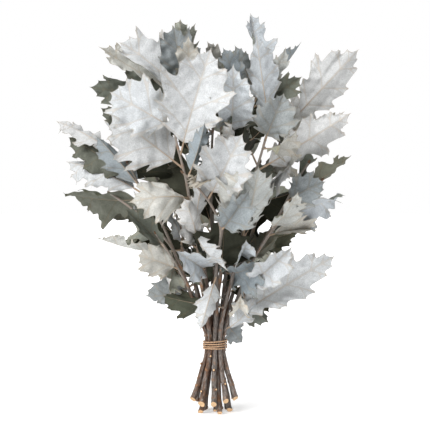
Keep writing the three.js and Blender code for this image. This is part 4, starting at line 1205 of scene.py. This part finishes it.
def add_twine(mesh):
    for number, line in enumerate(twine_paths()):
        path, ahead, out, up, plies = twisted(line)
        n = len(path)
        step = np.arange(n) * TWINE_STEP
        for ply, centres in enumerate(plies):
            radii = PLY_RADIUS * (1 + 0.09 * np.sin(step * 1.3 + ply) + 0.05 * np.sin(step * 3.1))
            place = np.zeros((n, PLY_SIDES, 3))
            place[..., 0] = np.arange(PLY_SIDES) / PLY_SIDES * PLY_GIRTH
            place[..., 1] = ply + 3 * number
            place[..., 2] = step[:, None] / 10
            mesh.add_tube(centres, radii, PLY_SIDES, TWINE, place.reshape(-1, 3))
        for k in range(int(FIBRES * n * TWINE_STEP / 470)):
            item = 1000 * number + k
            at = int(chance(item, 1) * (n - 12)) + 2
            a = TURN * chance(item, 2)
            spoke = out[at] * math.cos(a) + up[at] * math.sin(a)
            if spoke @ out[at] < -0.2:
                continue
            lean = ahead[at] * spread(item, 3, 1) + up[at] * spread(item, 4, 0.7)
            reach = 1.2 + 3.0 * chance(item, 5) ** 2
            t = np.linspace(0, 1, 5)[:, None]
            line = path[at] + spoke * 0.75 + lean * reach * t
            line = line + spoke * reach * 0.45 * t * t + out[at] * 0.3 * t
            mesh.add_tube(line, 0.055 * (1 - 0.6 * t[:, 0]), 3, TWINE, line / 10, BUD_MARKS)


# Materials

class Nodes:
    """Short names for building a material's nodes."""

    def __init__(self, name):
        self.material = bpy.data.materials.new(name)
        self.material.use_nodes = True
        self.tree = self.material.node_tree
        self.shader = self.tree.nodes["Principled BSDF"]

    def put(self, socket, value):
        if hasattr(value, "is_output"):
            self.tree.links.new(value, socket)
        elif value is not None:
            socket.default_value = value

    def node(self, kind, inputs=(), **settings):
        node = self.tree.nodes.new(kind)
        for key, value in settings.items():
            setattr(node, key, value)
        for key, value in dict(inputs).items():
            self.put(node.inputs[key], value)
        return node

    def attribute(self, name, kind="Vector"):
        return self.node("ShaderNodeAttribute", attribute_name=name).outputs[kind]

    def parts(self, vector):
        return tuple(self.node("ShaderNodeSeparateXYZ", {0: vector}).outputs)

    def math(self, operation, a, b=None, c=None, clamp=False):
        node = self.node("ShaderNodeMath", operation=operation, use_clamp=clamp)
        for socket, value in zip(node.inputs, (a, b, c)):
            self.put(socket, value)
        return node.outputs[0]

    def step(self, value, low, high, to_low=0.0, to_high=1.0):
        """to_low where value is low, to_high where it is high, smoothly between."""
        inputs = {0: value, 1: low, 2: high, 3: to_low, 4: to_high}
        return self.node("ShaderNodeMapRange", inputs, interpolation_type="SMOOTHSTEP").outputs[0]

    def times(self, a, b):
        return self.math("MULTIPLY", a, b)

    def plus(self, a, b):
        return self.math("ADD", a, b)

    def scaled(self, vector, by):
        node = self.node("ShaderNodeVectorMath", {0: vector, 1: by}, operation="MULTIPLY")
        return node.outputs[0]

    def noise(self, vector, scale, detail=3.0, roughness=0.55, distortion=0.0):
        inputs = {"Vector": vector, "Scale": scale, "Detail": detail}
        inputs |= {"Roughness": roughness, "Distortion": distortion}
        return self.node("ShaderNodeTexNoise", inputs).outputs[0]

    def cells(self, vector, scale, feature="F1"):
        inputs = {"Vector": vector, "Scale": scale}
        return self.node("ShaderNodeTexVoronoi", inputs, feature=feature).outputs["Distance"]

    def mix(self, share, a, b, blend="MIX"):
        node = self.node("ShaderNodeMix", data_type="RGBA", blend_type=blend)
        for socket, value in ((0, share), (6, a), (7, b)):
            self.put(node.inputs[socket], value)
        return node.outputs[2]

    def tint(self, a, b):
        return self.mix(1.0, a, b, "MULTIPLY")

    def grey(self, value):
        return self.node("ShaderNodeCombineColor", {0: value, 1: value, 2: value}).outputs[0]

    def shaded(self, colour, roughness, specular, others):
        inputs = {"Base Color": colour, "Roughness": roughness, "Specular IOR Level": specular}
        for name, value in (inputs | others).items():
            self.put(self.shader.inputs[name], value)
        return self.material

    def finished(self, colour, roughness, height, depth, specular=0.3):
        bump = self.node("ShaderNodeBump", {"Strength": 1.0, "Distance": depth, "Height": height})
        return self.shaded(colour, roughness, specular, {"Normal": bump.outputs[0]})


def rgb(r, g, b):
    return (r, g, b, 1.0)


def leaf_material():
    n = Nodes("dyed_oak_leaf")
    place = n.attribute("place")
    gap, edge, kind = n.parts(n.attribute("marks"))
    dye = n.attribute("dye", "Color")
    dyed = lambda r, g, b: n.tint(dye, rgb(r, g, b))
    cloud = n.noise(place, 0.55, 4.0, 0.6, 0.4)
    fleck = n.noise(place, 5.5, 5.0, 0.65)
    fine = n.noise(place, 2.3, 8.0, 0.74, 1.8)
    net = n.cells(place, 4.2, "DISTANCE_TO_EDGE")
    rib = n.step(kind, 1.4, 1.6)
    midrib = n.step(kind, 2.4, 2.6)
    under = n.math("SUBTRACT", n.step(kind, 0.3, 0.7), rib, clamp=True)

    # The dye lies unevenly: broad clouds, a finer marbling and flecks, with the small veins showing
    colour = n.tint(dye, n.grey(n.step(cloud, 0.25, 0.75, 0.86, 1.07)))
    colour = n.mix(n.step(fine, 0.46, 0.62, 0.0, 0.55), colour, dyed(0.62, 0.65, 0.65))
    colour = n.tint(colour, n.grey(n.step(fleck, 0.25, 0.75, 0.86, 1.1)))
    colour = n.mix(n.step(net, 0.0, 0.09, 0.3, 0.0), colour, dyed(0.64, 0.59, 0.5))
    # A vein and the edge are pale where the dye is thin; the darker band beside each vein is
    # painted shade, as in a crease
    pale = n.mix(1.0, dyed(0.88, 0.8, 0.7), rgb(0.06, 0.044, 0.03), "ADD")
    # Painted shade: a darker band either side of each vein, as of a crease
    colour = n.mix(n.step(gap, 0.4, 2.0, 0.42, 0.0), colour, dyed(0.62, 0.56, 0.49))
    colour = n.mix(n.step(gap, 0.1, 0.5, 0.35, 0.0), colour, pale)
    colour = n.mix(n.step(edge, 0.1, 0.9, 0.35, 0.0), colour, dyed(0.75, 0.66, 0.54))
    worn = n.times(n.step(edge, 0.2, 2.6, 0.5, 0.0), n.step(cloud, 0.5, 0.64))
    colour = n.mix(worn, colour, dyed(0.42, 0.34, 0.24))
    colour = n.mix(under, colour, n.tint(colour, rgb(0.66, 0.67, 0.57)))
    # The stalk is tan, and the midrib pales from it towards the tip
    stalk = n.mix(n.step(gap, 0.1, 0.95), rgb(0.42, 0.31, 0.22), pale)
    colour = n.mix(rib, colour, n.mix(0.5, pale, dyed(0.7, 0.63, 0.54)))
    colour = n.mix(midrib, colour, stalk)
    height = n.plus(n.times(n.step(net, 0.0, 0.12), 0.5), n.times(fleck, 0.6))
    return n.finished(colour, n.step(fleck, 0.2, 0.8, 0.62, 0.86), height, 0.00035, 0.25)


def bark_material():
    n = Nodes("oak_bark")
    place = n.attribute("place")
    bud, _, scar = n.parts(n.attribute("marks"))
    shade, silvery, high = n.parts(n.attribute("dye"))
    fibre = n.noise(n.scaled(place, (9, 9, 1.6)), 1.0, 5.0, 0.65, 0.6)
    blotch = n.noise(n.scaled(place, (2, 2, 0.6)), 1.0, 3.0, 0.5)
    russet = n.noise(n.scaled(place, (1.6, 1.6, 1.1)), 1.0, 4.0, 0.6, 0.5)
    pore = n.cells(n.scaled(place, (5, 5, 3.2)), 1.0)
    colour = n.mix(n.step(fibre, 0.3, 0.7), rgb(0.03, 0.02, 0.015), rgb(0.22, 0.145, 0.108))
    colour = n.mix(n.step(russet, 0.48, 0.62, 0.0, 0.6), colour, rgb(0.2, 0.1, 0.056))
    silver = n.mix(n.step(fibre, 0.35, 0.65), rgb(0.07, 0.064, 0.06), rgb(0.34, 0.33, 0.325))
    patch = n.plus(blotch, n.times(silvery, 0.3))
    colour = n.mix(n.step(patch, 0.58, 0.76, 0.0, 0.85), colour, silver)
    grey = n.mix(fibre, rgb(0.22, 0.2, 0.18), rgb(0.56, 0.55, 0.53))
    colour = n.mix(n.times(high, 0.75), colour, grey)
    colour = n.mix(n.step(pore, 0.12, 0.18, 0.8, 0.0), colour, rgb(0.42, 0.22, 0.1))
    ring = n.times(scar, n.step(russet, 0.4, 0.6, 0.0, 0.9))
    colour = n.mix(ring, colour, rgb(0.36, 0.19, 0.09))
    colour = n.tint(colour, n.tint(n.grey(shade), rgb(0.96, 0.89, 0.83)))
    colour = n.mix(n.times(bud, 0.75), colour, rgb(0.15, 0.085, 0.05))
    height = n.plus(fibre, n.step(pore, 0.12, 0.24, 0.6, 0.0))
    return n.finished(colour, n.step(blotch, 0.4, 0.6, 0.8, 0.55), height, 0.0006, 0.4)


def cut_material():
    n = Nodes("cut_wood")
    place = n.attribute("place")
    size, _, _ = n.parts(n.attribute("dye"))
    x, y, _ = n.parts(place)
    out = n.math("SQRT", n.plus(n.times(x, x), n.times(y, y)))
    share = n.math("DIVIDE", out, size)
    grain = n.noise(place, 14.0, 4.0)
    rings = n.math("SINE", n.plus(n.times(out, 75.0), n.times(grain, 4.0)))
    colour = n.mix(n.step(rings, -1.0, 1.0), rgb(0.8, 0.5, 0.26), rgb(0.95, 0.68, 0.42))
    colour = n.mix(n.step(share, 0.0, 0.2, 0.6, 0.0), colour, rgb(0.6, 0.32, 0.14))
    colour = n.mix(n.step(share, 0.88, 0.98, 0.0, 0.9), colour, rgb(0.3, 0.17, 0.09))
    colour = n.mix(n.step(grain, 0.5, 0.8, 0.0, 0.35), colour, rgb(0.62, 0.38, 0.2))
    return n.finished(colour, 0.75, n.plus(rings, grain), 0.00015)


def twine_material():
    n = Nodes("twine")
    place = n.attribute("place")
    strand = n.noise(n.scaled(place, (34, 5, 5)), 1.0, 5.0, 0.7)
    worn = n.noise(place, 1.6, 2.0)
    colour = n.mix(n.step(strand, 0.28, 0.72), rgb(0.3, 0.175, 0.1), rgb(0.7, 0.46, 0.29))
    colour = n.mix(n.step(worn, 0.4, 0.7, 0.0, 0.4), colour, rgb(0.74, 0.53, 0.36))
    return n.finished(colour, 0.9, strand, 0.0003)


leaf_look, bark_look, cut_look = leaf_material(), bark_material(), cut_material()

for stem in stems:
    mesh = Gathered()
    add_stem(mesh, stem)
    for twig in twigs:
        if twig.stem is stem:
            add_twig(mesh, twig)
    for item, z, degrees, length in STUBS:
        if item == stem.item:
            add_stub(mesh, item, z, degrees, length)
    for leaf in leaves:
        if leaf.stem is stem:
            add_leaf(mesh, leaf)
            add_knuckle(mesh, leaf)
    number = stem.item + 1
    piece = mesh.built(f"oak_stem_{number:02d}", [leaf_look, bark_look, cut_look])
    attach(piece, "root")
    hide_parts(f"leafy_stem_{number:02d}")

mesh = Gathered()
add_twine(mesh)
tie = mesh.built("twine", [twine_material()])
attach(tie, "root")
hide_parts("twine_tie")


# Floor, light and camera

def floor_and_light():
    bpy.ops.mesh.primitive_circle_add(vertices=64, radius=9, fill_type="NGON", location=(0, 0, 0))
    floor = bpy.context.object
    floor.name = "floor"
    n = Nodes("pale_floor")
    glow = {"Emission Color": rgb(1, 1, 1), "Emission Strength": FLOOR_GLOW}
    floor.data.materials.append(n.shaded(rgb(0.9, 0.9, 0.9), 0.9, 0.0, glow))

    world = bpy.data.worlds.new("studio")
    world.use_nodes = True
    tree = world.node_tree
    seen = tree.nodes.new("ShaderNodeLightPath").outputs["Is Camera Ray"]
    strength = tree.nodes.new("ShaderNodeMapRange")
    tree.links.new(seen, strength.inputs[0])
    strength.inputs[3].default_value = WORLD_LIGHT
    strength.inputs[4].default_value = 1.0
    tree.links.new(strength.outputs[0], tree.nodes["Background"].inputs[1])
    tree.nodes["Background"].inputs[0].default_value = rgb(1, 1, 1)
    bpy.context.scene.world = world

    for name, place, size, power in LAMPS:
        lamp = bpy.data.lights.new(name, "SUN")
        lamp.angle = math.radians(size)
        lamp.energy = power * math.pi
        shown = bpy.data.objects.new(name, lamp)
        shown.location = place
        aim = Vector(LAMP_AIM) - Vector(place)
        shown.rotation_euler = aim.to_track_quat("-Z", "Y").to_euler()
        bpy.context.scene.collection.objects.link(shown)


WORLD_LIGHT = 0.11
FLOOR_GLOW = 0.37
LAMPS = [
    ("key", (-1.3, -1.8, 2.0), 46, 1.02),
    ("top", (0.2, 0.1, 3.0), 70, 0.56),
]
LAMP_AIM = (0, 0, 0.35)
CAMERA_PLACE = (0, -2.3, 0.4)
CAMERA_AIM = (0, 0, 0.317)
LENS = 120.4

floor_and_light()
camera = bpy.data.cameras.new("camera")
camera.lens = LENS
camera.sensor_width = 36
eye = bpy.data.objects.new("camera", camera)
eye.location = CAMERA_PLACE
eye.rotation_euler = (Vector(CAMERA_AIM) - Vector(CAMERA_PLACE)).to_track_quat("-Z", "Y").to_euler()
bpy.context.scene.collection.objects.link(eye)
bpy.context.scene.camera = eye
bpy.context.scene.view_settings.view_transform = "Standard"
